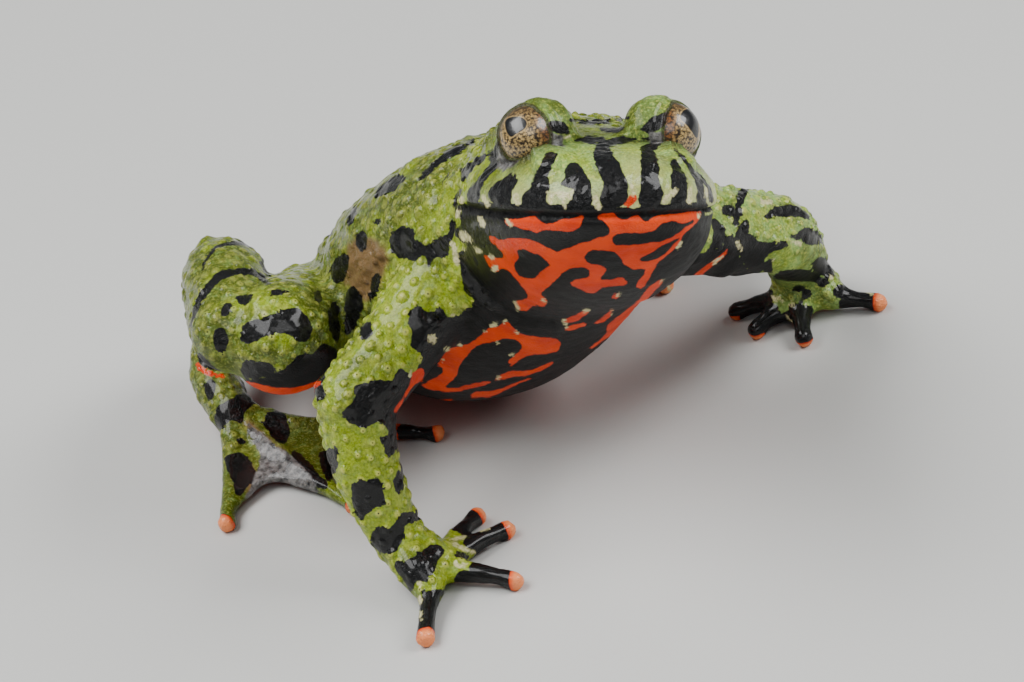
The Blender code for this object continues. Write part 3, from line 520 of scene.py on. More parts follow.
ORANGE = {
    "lower lip": (
        ((504, 220), (510, 219), (520, 219), (526, 218), (531, 216), (536, 216), (538, 219),
         (541, 222), (546, 224), (552, 224), (558, 222), (560, 219), (566, 219), (574, 218),
         (579, 216), (584, 215), (584, 218), (581, 222), (581, 226), (578, 229), (573, 231),
         (566, 232), (559, 231), (550, 230), (542, 230), (537, 233), (533, 232), (527, 230),
         (520, 228), (514, 226), (508, 226), (505, 223)),
    ),
    "throat": (
        ((489, 236), (493, 236), (497, 239), (504, 240), (510, 238), (518, 238), (527, 239),
         (534, 241), (539, 243), (544, 246), (550, 249), (556, 252), (559, 252), (564, 249),
         (574, 246), (582, 243), (590, 241), (598, 238), (605, 237), (609, 234), (610, 231),
         (608, 226), (605, 222), (602, 220), (598, 219), (597, 216), (602, 214), (610, 213),
         (615, 213), (617, 217), (622, 220), (627, 220), (631, 217), (636, 215), (640, 215),
         (641, 219), (644, 222), (648, 222), (650, 219), (654, 217), (660, 215), (670, 214),
         (680, 213), (690, 212), (698, 211), (702, 211), (700, 217), (697, 222), (691, 228),
         (686, 232), (682, 236), (681, 241), (680, 245), (675, 249), (669, 254), (662, 259),
         (658, 263), (655, 267), (652, 273), (648, 280), (645, 286), (641, 289), (636, 288),
         (638, 282), (643, 276), (646, 271), (645, 269), (640, 269), (634, 270), (628, 267),
         (624, 264), (622, 260), (618, 254), (610, 251), (600, 250), (592, 250), (587, 253),
         (584, 257), (586, 261), (591, 264), (598, 265), (603, 266), (607, 269), (605, 273),
         (601, 277), (600, 280), (606, 280), (613, 280), (619, 277), (624, 277), (624, 280),
         (628, 282), (626, 285), (620, 286), (612, 286), (605, 286), (600, 289), (597, 292),
         (593, 294), (588, 293), (582, 290), (577, 288), (571, 285), (570, 282), (575, 280),
         (582, 279), (588, 278), (590, 274), (590, 269), (582, 267), (574, 267), (568, 269),
         (563, 272), (560, 276), (556, 280), (552, 283), (550, 286), (546, 288), (543, 291),
         (541, 294), (542, 297), (546, 298), (547, 301), (546, 305), (544, 308), (541, 307),
         (538, 305), (534, 305), (531, 307), (529, 310), (524, 311), (519, 310), (515, 306),
         (514, 302), (519, 300), (524, 300), (527, 298), (528, 294), (525, 290), (522, 287),
         (519, 283), (515, 278), (511, 273), (508, 270), (504, 268), (500, 269), (498, 272),
         (493, 271), (489, 267), (487, 262), (485, 258), (483, 255), (487, 255), (492, 258),
         (498, 258), (502, 258), (504, 256), (502, 252), (499, 249), (495, 245), (490, 241)),
    ),
    "chest": (
        ((611, 297), (614, 293), (621, 293), (618, 299), (613, 300)),
        ((565, 321, 2), (575, 319, 3), (583, 314, 2.5), (588, 311, 1.5)),
        ((567, 329, 2), (575, 327, 2.5), (585, 324, 1.5)),
        ((596, 323, 1.5), (603, 320, 2.5), (609, 315, 2), (612, 310, 1.5)),
        ((662, 279), (664, 281), (660, 286), (655, 291), (650, 296), (646, 301), (644, 306),
         (645, 309), (640, 312), (642, 316), (639, 320), (632, 322), (626, 327), (620, 332),
         (612, 336), (606, 338), (600, 343), (594, 348), (588, 350), (590, 347), (598, 342),
         (602, 338), (608, 332), (606, 328), (608, 324), (616, 318), (624, 312), (632, 306),
         (639, 300), (644, 293), (650, 286), (656, 282)),
        ((669, 293, 2.5), (678, 290, 3.5), (690, 282, 3), (702, 272, 2.5), (712, 264, 2),
         (720, 258, 2), (727, 251, 1.5)),
        ((633, 198, 4.2), (630, 203, 3.4)),
        ((624, 205, 1.2), (629, 206, 1.4)),
        ((463, 235, 1.6), (469, 239, 1.8)),
    ),
    "belly": (
        ((435, 366), (440, 362), (443, 355), (450, 348), (457, 347), (467, 345), (477, 339),
         (483, 333), (490, 327), (497, 328), (503, 322), (508, 322), (515, 330), (523, 335),
         (537, 337), (553, 338), (561, 341), (560, 350), (553, 353), (537, 354), (527, 356),
         (520, 359), (515, 364), (510, 367), (508, 362), (512, 357), (520, 352), (523, 345),
         (515, 339), (503, 338), (493, 342), (483, 343), (473, 348), (465, 358), (458, 367),
         (458, 375), (450, 382), (445, 387), (443, 391), (433, 390), (420, 387), (427, 382),
         (437, 377), (443, 372), (443, 367)),
        ((412, 378), (410, 373), (413, 372), (420, 368), (424, 369), (424, 375), (423, 381),
         (417, 382), (410, 390), (405, 398), (400, 407), (395, 415), (393, 410), (402, 400),
         (407, 390)),
        ((416, 400, 1.8), (428, 403, 2.3), (441, 402, 2.3), (452, 400, 1)),
        ((443, 390, 2), (457, 390, 2), (470, 386.5, 2), (483, 384, 2), (490, 382, 1)),
        ((472, 396, 2), (478, 394, 3.2), (487, 395, 2.8), (495, 393, 2), (505, 389, 1.5),
         (518, 383, 1), (530, 378, 1)),
        ((497, 379, 1.5), (505, 376, 3), (513, 373, 3.3), (522, 374, 2.5), (532, 372, 2),
         (540, 369, 2), (553, 363, 1.5)),
    ),
    "thigh edge": (
        ((246, 383, 2), (262, 388, 3), (275, 391, 3.4), (290, 392, 3.6), (305, 389, 3.4),
         (318, 384, 3)),
        ((197, 364, 1.8), (203, 371, 2.6), (213, 375, 2.6), (223, 376, 2)),
    ),
}
HOLES = {
    "holes in the throat's orange": (
        ((517, 250), (522, 249), (527, 250), (532, 253), (538, 254), (543, 258), (548, 261),
         (552, 264), (548, 267), (543, 270), (539, 274), (535, 278), (529, 279), (523, 278),
         (518, 275), (515, 271), (513, 266), (516, 261), (519, 258), (518, 254)),
        ((612, 240), (613, 237), (616, 234), (624, 233), (636, 233), (648, 232), (656, 230),
         (659, 226), (663, 223), (670, 221), (678, 222), (683, 224), (688, 222), (693, 220),
         (695, 221), (691, 224), (686, 227), (680, 232), (672, 237), (666, 240), (658, 242),
         (650, 243), (640, 245), (630, 245), (620, 246), (615, 245), (612, 242)),
        ((639, 260), (641, 257), (646, 255), (652, 252), (658, 248), (664, 244), (670, 242),
         (675, 239), (679, 239), (676, 242), (672, 246), (668, 251), (664, 254), (660, 257),
         (654, 260), (648, 261), (642, 262)),
    ),
}
# Cream spots; a few strokes on the fingers are painted highlights
CREAM_AND_HIGHLIGHTS = {
    "lip ends": (
        ((462, 198, 2.3), (462, 202, 2.2)),
        ((459, 211, 1.9), (459, 216, 2.1)),
        ((483, 197, 2.2), (485, 201, 2.4), (488, 205, 2.4)),
        ((515, 196, 2.8), (516, 199, 2.5), (518, 203, 2.2)),
        ((558, 194, 2.8), (567, 195, 3)),
        ((564, 201, 2.4), (565, 207, 1.6)),
        ((550, 197, 1.8), (551, 203, 1.5)),
        ((548, 193, 1.1), (553, 195, 1.4)),
        ((572, 191, 1.4), (570, 198, 1.3)),
        ((595, 198, 2), (597, 206, 3.6), (600, 207, 2)),
        ((632, 186, 2), (633, 193, 3)),
        ((676, 190, 2.2), (669, 196, 2.8), (664, 201, 2.2)),
        ((690, 188, 1.6), (690, 196, 2), (689, 202, 2)),
        ((706, 188, 1), (706, 196, 1.3)),
        ((549, 134, 0.8), (555, 137.5, 1), (564, 138, 0.9), (570, 136, 0.7)),
        ((669, 121, 0.8), (668, 128, 1.3), (665, 133, 1)),
    ),
    "throat spots": (
        ((480, 219, 2.8), (483, 225, 2.8)),
        ((476, 249, 2), (480, 252, 2.4)),
        ((464, 249, 1.8), (465, 250, 1.6)),
        ((458, 232), (464, 230), (469, 235), (474, 241), (472, 243), (465, 241), (459, 238)),
        ((506, 220, 1.8), (511, 225, 1.8)),
        ((490, 256, 1.8), (494, 258, 2)),
        ((494, 269, 3), (496, 268, 2.4)),
        ((453, 243, 2), (456, 254, 2.8), (457, 264, 2.6)),
        ((515, 302, 1.6), (518, 309, 1.8)),
        ((543, 300, 1.8), (546, 302, 1.2)),
        ((564, 320, 1.8), (567, 328, 1.4)),
        ((585, 311, 2.2), (589, 310, 1.4)),
        ((618, 296, 1.5), (620, 293, 1.2)),
        ((663, 280, 1.4), (661, 283, 1.2)),
        ((669, 287, 1.8), (670, 291, 1.4)),
        ((713, 264, 1.6), (718, 260, 1.6), (722, 256, 1.1)),
        ((698, 213, 1.3), (699, 217, 1.2)),
        ((677, 248, 1.4), (681, 243, 1.2)),
        ((612, 310, 1.3), (611, 315, 1.1)),
    ),
    "belly spots": (
        ((492, 325, 2.6), (495, 325, 2.2)),
        ((446, 349, 2.6), (448, 349, 2.2)),
        ((459, 345, 2.2), (461, 345, 1.8)),
        ((484, 331, 1.2), (485, 332, 1.2)),
        ((497, 342, 1.5), (498, 343, 1.3)),
        ((504, 321, 1.8), (506, 322, 1.4)),
        ((511, 355, 1.8), (513, 354, 1.4)),
        ((498, 378, 1.8), (500, 377, 1.4)),
        ((516, 332, 1.6), (518, 334, 1.3)),
        ((409, 376, 1.2), (411, 370, 1.2)),
        ((432, 338, 4.5), (433, 340, 4)),
        ((452, 316, 2), (454, 315, 1.6)),
        ((400, 449, 2.2), (401, 455, 2)),
        ((403, 464, 1.5), (405, 470, 1.5)),
        ((443, 360, 1.2), (442, 361, 1)),
    ),
    "right hand": (
        ((427, 515, 1.4), (431, 519, 1.4)),
        ((431, 526, 1.4), (436, 529, 1.4)),
        ((444, 529, 2.2), (447, 531, 2)),
        ((455, 539, 2), (465, 537, 1.8)),
        ((452, 543, 1.5), (462, 549, 2), (474, 552, 2)),
        ((455, 563, 1.8), (460, 568, 1.5), (467, 563, 1.6)),
        ((419, 584, 2.4), (421, 585, 2)),
        # The next two strokes are painted highlights on the lower finger
        ((420, 598, 2), (420, 602, 2.2)),
        ((420, 612, 1.5), (421, 619, 1.6)),
        ((480, 530, 1.3), (490, 528, 1.1)),
    ),
    "left arm": (
        ((762, 202, 2.3), (771, 202, 2.3)),
        ((773, 260, 1.8), (775, 261, 1.5)),
        ((765, 277, 2.2), (766, 279, 2)),
        ((791, 304, 2.2), (793, 306, 1.6)),
        # The next two strokes are a painted highlight along the outer finger's top edge
        ((830, 278, 2.2), (832, 279, 2)),
        ((846, 281, 1.6), (856, 288, 1.2), (866, 291, 1.3), (873, 295, 1)),
        ((773, 297, 1.8), (782, 302, 1.8)),
        ((787, 315, 1.2), (792, 324, 1)),
        ((800, 244, 2.5), (792, 241, 1.8)),
        ((738, 242, 1.8), (741, 250, 1.8)),
    ),
}
TAN = {
    "flank folds": (
        ((350, 238), (372, 236), (390, 254), (388, 268), (374, 296), (364, 304), (352, 292),
         (343, 280), (344, 262)),
    ),
    "web": (
        ((243, 420), (252, 423), (262, 432), (276, 445), (288, 454), (284, 458), (270, 449),
         (256, 437)),
        ((243, 470), (250, 462), (256, 474), (268, 488), (300, 490), (318, 494), (300, 498),
         (268, 496), (248, 500)),
    ),
}
FOLDS = {
    "armpit": (
        ((345, 278, 0.5), (339, 292, 0.7), (341, 310, 0.7), (346, 326, 0.5)),
        ((370, 248, 0.6), (360, 262, 0.8), (348, 280, 0.6)),
        ((382, 262, 0.6), (370, 276, 0.8), (358, 300, 0.6)),
        ((362, 242, 0.5), (353, 256, 0.6)),
    ),
    "neck": (
        ((463, 158, 0.6), (456, 172, 0.9), (452, 190, 1), (453, 208, 1), (449, 226, 0.7)),
        ((446, 166, 0.5), (439, 182, 0.7), (437, 202, 0.6)),
    ),
    "under the throat": (
        ((458, 262, 0.8), (470, 278, 1.2), (484, 294, 1.3), (500, 306, 1.3), (516, 316, 1.3),
         (532, 321, 1.2), (552, 323, 0.8)),
    ),
}
LID = {
    "under the right eye": (
        ((496, 155), (503, 158), (512, 160), (521, 161), (529, 159), (535, 155), (539, 156),
         (534, 163), (528, 167), (518, 169.5), (506, 169), (498, 166)),
    ),
    "web": (
        ((246, 421), (258, 430), (268, 439), (278, 447), (290, 454), (300, 464), (310, 475),
         (318, 487), (318, 496), (290, 494), (265, 492), (242, 502), (250, 490), (262, 458),
         (255, 445), (247, 434)),
    ),
}
PUPIL = {
    "pupils": (
        ((505, 127), (505, 120), (510, 117), (519, 116.5), (525, 119), (527.5, 124), (524, 130),
         (517, 133), (511, 138), (507, 133)),
        ((680, 115), (684, 109.5), (690, 108.5), (696, 113), (698.5, 122), (699, 132), (697, 140),
         (692, 132), (686, 124), (681, 120)),
    ),
}


# The front view


def view_axes():
    """Towards the camera, to the picture's right, and up in the picture."""
    across = math.cos(VIEW_HEIGHT)
    back = Vector(
        (
            math.sin(VIEW_AZIMUTH) * across,
            -math.cos(VIEW_AZIMUTH) * across,
            math.sin(VIEW_HEIGHT),
        )
    )
    level = UP.cross(back).normalized()
    upright = back.cross(level)
    right = level * math.cos(VIEW_ROLL) - upright * math.sin(VIEW_ROLL)
    return back, right, back.cross(right)


def eye_centre(side):
    return HEAD + HEAD_TURN @ Vector((side * EYE_PLACE.x, EYE_PLACE.y, EYE_PLACE.z))


def stance_shift():
    """From the stance's own millimetres, which the markings use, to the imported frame."""
    low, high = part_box("eye_right")
    shift = (low + high) / 2 / MM - eye_centre(-1)
    return Vector((shift.x, shift.y, 0.0))


def in_picture(points):
    """Where points in stance millimetres lie in the picture, and its units per millimetre."""
    back, right, up = (np.array(axis) for axis in view_axes())
    away = points - np.array(VIEW_AIM)
    depth = VIEW_DISTANCE - away @ back
    x = PICTURE[0] / 2 + PICTURE_FOCUS * (away @ right) / depth
    y = PICTURE[1] / 2 - PICTURE_FOCUS * (away @ up) / depth
    return np.stack([x, y], 1), PICTURE_FOCUS / depth


def in_head(points):
    return (points - np.array(HEAD)) @ np.array(HEAD_TURN)


def above_mouth(head):
    """Height over the line of the mouth, in the head's frame."""
    return head[:, 2] - np.interp(head[:, 1], MOUTH_Y, MOUTH_HEIGHT)


# Curves


def smooth_step(low, high, value):
    t = np.clip((value - low) / (high - low), 0, 1)
    return t * t * (3 - 2 * t)


def bell(*axes):
    """1 in the middle and 0 far from it; each axis is a value, its middle and its width."""
    return np.exp(-sum(((value - middle) / width) ** 2 for value, middle, width in axes))


def relief(value, swellings):
    """Sum of rounded swellings across a value."""
    return sum(height * bell((value, middle, width)) for height, middle, width in swellings)


def noise_at(points, size, seed):
    """Smooth noise about zero, with lumps of the given size in millimetres."""
    offset = Vector([seed * step for step in NOISE_STEP])
    return np.array([noise.noise(Vector(p) / size + offset) for p in points])


def noise_relief(points, rows):
    return sum(height * noise_at(points, size, seed) for height, size, seed in rows)


def cut_noise(points, size, seed, cut, steep):
    """How deep points lie in the lumps of a noise above its cut."""
    return (noise_at(points, size, seed) - cut) * steep


# Marks


def rounded(points, closed, rounds=2):
    """Corner cutting, so that a few listed points give a smooth line."""
    line = np.array(points, float)
    for _ in range(rounds):
        after = np.roll(line, -1, axis=0) if closed else line[1:]
        start = line if closed else line[:-1]
        cut = np.empty((len(start) * 2, line.shape[1]))
        cut[0::2] = start * 0.75 + after * 0.25
        cut[1::2] = start * 0.25 + after * 0.75
        line = cut if closed else np.vstack([line[:1], cut[1:-1], line[-1:]])
    return line


def to_segments(spots, start, stop):
    """Distance from each spot to each segment, and how far along it the nearest place is."""
    run = stop - start
    size = np.maximum((run**2).sum(1), TINY)
    along = ((spots[:, None, :] - start[None]) * run[None]).sum(2) / size[None]
    along = np.clip(along, 0, 1)
    nearest = start[None] + along[..., None] * run[None]
    return np.linalg.norm(spots[:, None, :] - nearest, axis=2), along


def patch_field(spots, outline):
    """How deep spots lie inside an outline, by their distance to it and the crossings beside."""
    after = np.roll(outline, -1, axis=0)
    gap, _ = to_segments(spots, outline, after)
    x, y = spots[:, None, 0], spots[:, None, 1]
    above = (outline[None, :, 1] > y) != (after[None, :, 1] > y)
    run, rise = (after - outline).T
    slope = run / np.where(np.abs(rise) < TINY, TINY, rise)
    cross = outline[None, :, 0] + (y - outline[None, :, 1]) * slope[None]
    inside = ((above & (x < cross)).sum(1) % 2) == 1
    return np.where(inside, 1.0, -1.0) * gap.min(1)


def stroke_field(spots, line):
    gap, along = to_segments(spots, line[:-1, :2], line[1:, :2])
    width = line[None, :-1, 2] * (1 - along) + line[None, 1:, 2] * along
    return (width - gap).max(1)


def drawn_field(points, marks):
    """How deep each point lies inside the marks, in millimetres; negative is outside."""
    spots, scale = in_picture(points)
    field = np.full(len(points), -REACH)
    for mark in (mark for group in marks.values() for mark in group):
        closed = len(mark[0]) == 2
        line = rounded(mark, closed)
        margin = REACH * scale.max() + (0 if closed else line[:, 2].max())
        low = line[:, :2].min(0) - margin
        high = line[:, :2].max(0) + margin
        near = np.nonzero(((spots > low) & (spots < high)).all(1))[0]
        if len(near):
            shape = patch_field if closed else stroke_field
            field[near] = np.maximum(field[near], shape(spots[near], line) / scale[near])
    return np.clip(field, -REACH, REACH)


def blended(drawn, loose, seen):
    """The drawn field where it is seen and the noisy one elsewhere, both cut to the same depth."""
    return np.clip(drawn, -EDGE, EDGE) * seen + np.clip(loose, -EDGE, EDGE) * (1 - seen)


# Meshes


def deselect():
    if bpy.context.mode != "OBJECT":
        bpy.ops.object.mode_set(mode="OBJECT")
    bpy.ops.object.select_all(action="DESELECT")


def activate(obj):
    deselect()
    obj.select_set(True)
    bpy.context.view_layer.objects.active = obj


def new_object(name, data):
    made = bpy.data.objects.new(name, data)
    bpy.context.scene.collection.objects.link(made)
    return made


def new_ball(name, radius, side, subdivisions):
    """A ball round the middle of an eye."""
    deselect()
    bpy.ops.mesh.primitive_ico_sphere_add(subdivisions=subdivisions, radius=radius)
    ball = bpy.context.object
    ball.name = name
    ball.data.transform(Matrix.Translation(eye_centre(side)))
    return ball


def pulled(items, key, width, kind=float):
    """One property of every item in a mesh's list, as an array."""
    values = np.empty(len(items) * width, kind)
    items.foreach_get(key, values)
    return values.reshape(-1, width)


def coordinates(mesh):
    return pulled(mesh.vertices, "co", 3)


def set_coordinates(mesh, co):
    mesh.vertices.foreach_set("co", np.ascontiguousarray(co, np.float32).ravel())
    mesh.update()


def normals(mesh):
    return pulled(mesh.vertex_normals, "vector", 3)


def edge_ends(mesh):
    return pulled(mesh.edges, "vertices", 2, int)


def add_field(mesh, name, values):
    layer = mesh.attributes.new(name, "FLOAT", "POINT")
    layer.data.foreach_set("value", np.ascontiguousarray(values, np.float32))


def field_values(mesh, name):
    return pulled(mesh.attributes[name].data, "value", 1, np.float32)[:, 0]


def face_tree(mesh, co):
    return BVHTree.FromPolygons(co.tolist(), [tuple(p.vertices) for p in mesh.polygons])


def averaged(values, ends):
    """Mean of each vertex's neighbours."""
    count = len(values)
    table = values.reshape(count, -1)
    degree = np.maximum(np.bincount(ends.ravel(), minlength=count), 1)
    total = np.empty_like(table)
    for k in range(table.shape[1]):
        total[:, k] = np.bincount(ends[:, 0], table[ends[:, 1], k], count)
        total[:, k] += np.bincount(ends[:, 1], table[ends[:, 0], k], count)
    return (total / degree[:, None]).reshape(values.shape)


def evened(co, ends, rounds, weight=1.0, steps=EVEN_STEPS):
    """Smooths each point by its weight, a step at a time."""
    pull = np.reshape(weight, (-1, 1))
    for _ in range(rounds):
        for step in steps:
            co = co + pull * step * (averaged(co, ends) - co)
    return co


def even_out(mesh, rounds, weight=1.0):
    set_coordinates(mesh, evened(coordinates(mesh), edge_ends(mesh), rounds, weight))


def push_out(mesh, push):
    """Moves each vertex along its normal, each by its own length."""
    set_coordinates(mesh, coordinates(mesh) + normals(mesh) * push[:, None])


def modifier(obj, name, kind, **settings):
    mod = obj.modifiers.new(name, kind)
    for key, value in settings.items():
        setattr(mod, key, value)
    activate(obj)
    bpy.ops.object.modifier_apply(modifier=mod.name)


def edit_mesh(obj, operation, **settings):
    """Runs one operation on all of an object's mesh."""
    activate(obj)
    bpy.ops.object.mode_set(mode="EDIT")
    bpy.ops.mesh.select_all(action="SELECT")
    operation(**settings)
    bpy.ops.object.mode_set(mode="OBJECT")


def finish_piece(obj, shift, nodes=()):
    """The piece's place on the frame, its shading and the nodes that it replaces."""
    obj.data.transform(Matrix.Scale(MM, 4) @ Matrix.Translation(shift))
    activate(obj)
    bpy.ops.object.shade_smooth()
    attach(obj, "root")
    if nodes:
        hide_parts(*nodes)


# Shape of the skin


def flesh_copy(shift, swell):
    """The flesh nodes' copies, swollen until their cuts close, and joined with filled sockets."""
    parts = []
    for name in FLESH:
        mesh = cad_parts[name].data.copy()
        mesh.transform(Matrix.Translation(-shift) @ Matrix.Scale(1 / MM, 4))
        part = new_object("flesh_" + name, mesh)
        edit_mesh(part, bpy.ops.mesh.remove_doubles, threshold=MERGE)
        modifier(part, "swell", "DISPLACE", strength=swell, mid_level=0.0)
        parts.append(part)
    for side in SIDES:
        parts.append(new_ball("socket", EYE_BALL + LID_EDGE + swell, side, SOCKET_CUTS))
    deselect()
    for part in parts:
        part.select_set(True)
    bpy.context.view_layer.objects.active = parts[0]
    bpy.ops.object.join()
    skin = bpy.context.object
    skin.name = "skin"
    skin.data.name = "skin"
    skin.data.materials.clear()
    return skin


def refine(skin, wanted):
    """Splits the faces whose centre passes the test into four."""
    mesh = skin.data
    chosen = wanted(pulled(mesh.polygons, "center", 3))
    activate(skin)
    bpy.ops.object.mode_set(mode="EDIT")
    bpy.ops.mesh.select_mode(type="FACE")
    bpy.ops.mesh.select_all(action="DESELECT")
    bpy.ops.object.mode_set(mode="OBJECT")
    mesh.polygons.foreach_set("select", chosen)
    bpy.ops.object.mode_set(mode="EDIT")
    bpy.ops.mesh.subdivide(number_cuts=1, smoothness=0.0)
    bpy.ops.object.mode_set(mode="OBJECT")


def on_face(points):
    x, y, z = in_head(points).T
    return (y < FACE_BACK) & (z > FACE_LOW) & (np.abs(x) < FACE_HALF)


def near_eye(points):
    away = [np.linalg.norm(points - np.array(eye_centre(side)), axis=1) for side in SIDES]
    return np.minimum(*away) < EYE_ZONE


def around_eyes(co, reach):
    """For each eye: its side, the points within reach, their distances and their directions."""
    for side in SIDES:
        away = co - np.array(eye_centre(side))
        far = np.linalg.norm(away, axis=1)
        near = np.nonzero(far < reach)[0]
        yield side, near, far[near], away[near] / far[near][:, None]


def lid_frame(side):
    """Axis of the lid opening, towards the nose and up, in stance axes."""
    axis = Vector((side * LID_AXIS.x, LID_AXIS.y, LID_AXIS.z)).normalized()
    nose = Vector((-side, 0, 0))
    nose = (nose - axis * nose.dot(axis)).normalized()
    up = nose.cross(axis) if side > 0 else axis.cross(nose)
    return [np.array(HEAD_TURN @ way) for way in (axis, nose, up)]


def outside_lid(way, side):
    """How far directions from the eye's middle lie outside the lid's opening, in millimetres."""
    axis, nose, up = lid_frame(side)
    angle = np.arccos(np.clip(way @ axis, -1, 1))
    clock = np.degrees(np.arctan2(way @ up, way @ nose)) % 360
    hours = np.linspace(0, 360, len(LID_REACH) + 1)
    reach = np.interp(clock, hours, LID_REACH + LID_REACH[:1])
    return (angle - np.radians(reach)) * EYE_BALL


def soften(mesh):
    """Evens out the solid's own steps: between the jaws, and where the head joins the back."""
    co = coordinates(mesh)
    ends = edge_ends(mesh)
    head = in_head(co)
    across = np.abs(head[:, 0])
    jaws = bell((above_mouth(head), *JAW_BAND)) * smooth_step(*JAW_FADE, head[:, 1])
    jaws *= across < MOUTH_HALF
    nape = bell((head[:, 1], *NAPE_BAND)) * smooth_step(*NAPE_FADE, head[:, 2])
    nape *= across < NAPE_HALF
    co = evened(co, ends, JAW_ROUNDS, jaws, SOFT_STEPS)
    set_coordinates(mesh, evened(co, ends, NAPE_ROUNDS, nape, SOFT_STEPS))


def lower_snout(mesh):
    """Presses in the snout's shoulders, so that both eyes look out over them."""
    co = coordinates(mesh)
    x, y, z = in_head(co).T
    down = DENT_DEPTH * bell((np.abs(x), DENT.x, DENT_WIDTH), (y, DENT.y, DENT_LENGTH))
    down *= smooth_step(DENT_FOOT, DENT.z, z)
    set_coordinates(mesh, co - down[:, None] * np.array(HEAD_TURN @ UP))


def surface_relief(co, out):
    """Low lumps on the warty skin, fine creases on the face, and the folds at the arm and neck."""
    warty = pebble_weight(co, out)
    push = warty * noise_relief(co, LUMPS) + (1 - warty) * noise_relief(co, CREASES)
    snout = on_face(co) * smooth_step(*CRINKLE_FADE, above_mouth(in_head(co)))
    push += snout * CRINKLE_HEIGHT * noise_at(co, *CRINKLE_NOISE)
    front = (out @ np.array(view_axes()[0]) > 0) & (co[:, 2] > FOLD_LOWEST)
    depth = np.where(front, drawn_field(co, FOLDS), -REACH)
    push += relief(depth, FOLD_RIDGE) - FOLD_DEPTH * smooth_step(*FOLD_FADE, depth)
    return push


def face_relief(co):
    """Mouth line, lips and nostrils."""
    head = in_head(co)
    reach = smooth_step(*LIPS_FADE, head[:, 1]) * (np.abs(head[:, 0]) < MOUTH_HALF)
    push = relief(above_mouth(head), LIPS) * reach
    for side in SIDES:
        hole = np.array(NOSTRIL) * (side, 1, 1)
        gap = np.linalg.norm((head - hole) * NOSTRIL_STRETCH, axis=1)
        push += relief(gap, NOSTRIL_RIM)
    return push


def shape_lids(co):
    """Lays the skin on the eyeballs: hidden behind them in the openings, a rolled rim round."""
    for side, near, far, way in around_eyes(co, LID_ZONE):
        out = outside_lid(way, side)
        edge = EYE_BALL + np.clip(out * LID_STEEP, LID_HIDDEN, LID_EDGE)
        edge += relief(out, LID_ROLL)
        most = EYE_BALL + LID_MOST + LID_SLOPE * np.maximum(out, 0.0) ** LID_CURVE
        outer = np.minimum(np.maximum(far, EYE_BALL + LID_LEAST), most) - relief(out, LID_CREASE)
        fade = smooth_step(*LID_FADE, out)
        radius = edge * (1 - fade) + outer * fade
        co[near] = np.array(eye_centre(side)) + way * radius[:, None]
    return co


# Fields of the skin


def seen_weight(mesh):
    """1 where the front view sees the skin, 0 where it doesn't, soft between."""
    co = coordinates(mesh)
    out = normals(mesh)
    back = np.array(view_axes()[0])
    camera = Vector(np.array(VIEW_AIM) + back * VIEW_DISTANCE)
    tree = face_tree(mesh, co)
    seen = np.zeros(len(co))
    for i in np.nonzero(out @ back > SIGHT_TURN)[0]:
        start = Vector(co[i] + out[i] * SIGHT_START)
        way = (camera - start).normalized()
        seen[i] = tree.ray_cast(start, way, SIGHT_RANGE)[0] is None
    ends = edge_ends(mesh)
    face = on_face(co)
    for step in range(FACE_WIDENING):
        wider = seen.copy()
        np.maximum.at(wider, ends[:, 0], seen[ends[:, 1]])
        np.maximum.at(wider, ends[:, 1], seen[ends[:, 0]])
        seen = wider if step < BODY_WIDENING else np.where(face, wider, seen)
    for _ in range(SEEN_BLUR):
        seen = averaged(seen, ends)
    return smooth_step(*SEEN_FADE, seen)


def pebble_weight(co, out):
    """1 on the warty back and limbs, 0 on the belly, throat and face."""
    back = smooth_step(*WARTY_BACK, in_head(co)[:, 1])
    return back * smooth_step(*WARTY_TOP, out[:, 2]) * smooth_step(*WARTY_HIGH, co[:, 2])


def lid_rim(co):
    """1 on the dark edge of the lids."""
    rim = np.zeros(len(co))
    for side, near, _, way in around_eyes(co, EYE_BALL + RIM_ZONE):
        rim[near] = np.maximum(rim[near], smooth_step(*RIM_FADE, outside_lid(way, side)))
    return rim


def under_lid_field(co):
    """Field of the grey band under each eye."""
    lid = np.full(len(co), -REACH)
    for side, near, _, way in around_eyes(co, EYE_BALL + UNDER_LID_ZONE):
        below = (UNDER_LID_TOP - way @ lid_frame(side)[2]) * EYE_BALL
        band = UNDER_LID_HALF - np.abs(outside_lid(way, side) - UNDER_LID_MIDDLE)
        lid[near] = np.maximum(lid[near], np.minimum(band, below))
    return lid


def limb_end_fields(co):
    """Fields of the orange tips, the dark fingers, and the dark toes on the sides not drawn."""
    tip, finger, toe = np.full((3, len(co)), -REACH)
    for middle, length, pads in LIMB_ENDS.values():
        palm = np.array((*middle, PAD_HEIGHT))
        for x, y, top in pads:
            pad = np.array((x, y, PAD_HEIGHT))
            way = (pad - palm) / np.linalg.norm(pad - palm)
            along = (co - pad) @ way
            near = PAD_REACH - np.linalg.norm(co - pad, axis=1)
            end = np.minimum(np.minimum(along + PAD_BACK, near), (top - co[:, 2]) * PAD_TOP_SLOPE)
            off = np.linalg.norm(co - pad - along[:, None] * way, axis=1)
            within = np.minimum(PAD_REACH - off, PAD_FRONT - along)
            tip = np.maximum(tip, end)
            finger = np.maximum(finger, np.minimum(within, along + length))
            toe = np.maximum(toe, np.minimum(within, along + TOE_DARK))
    return tip, finger, toe


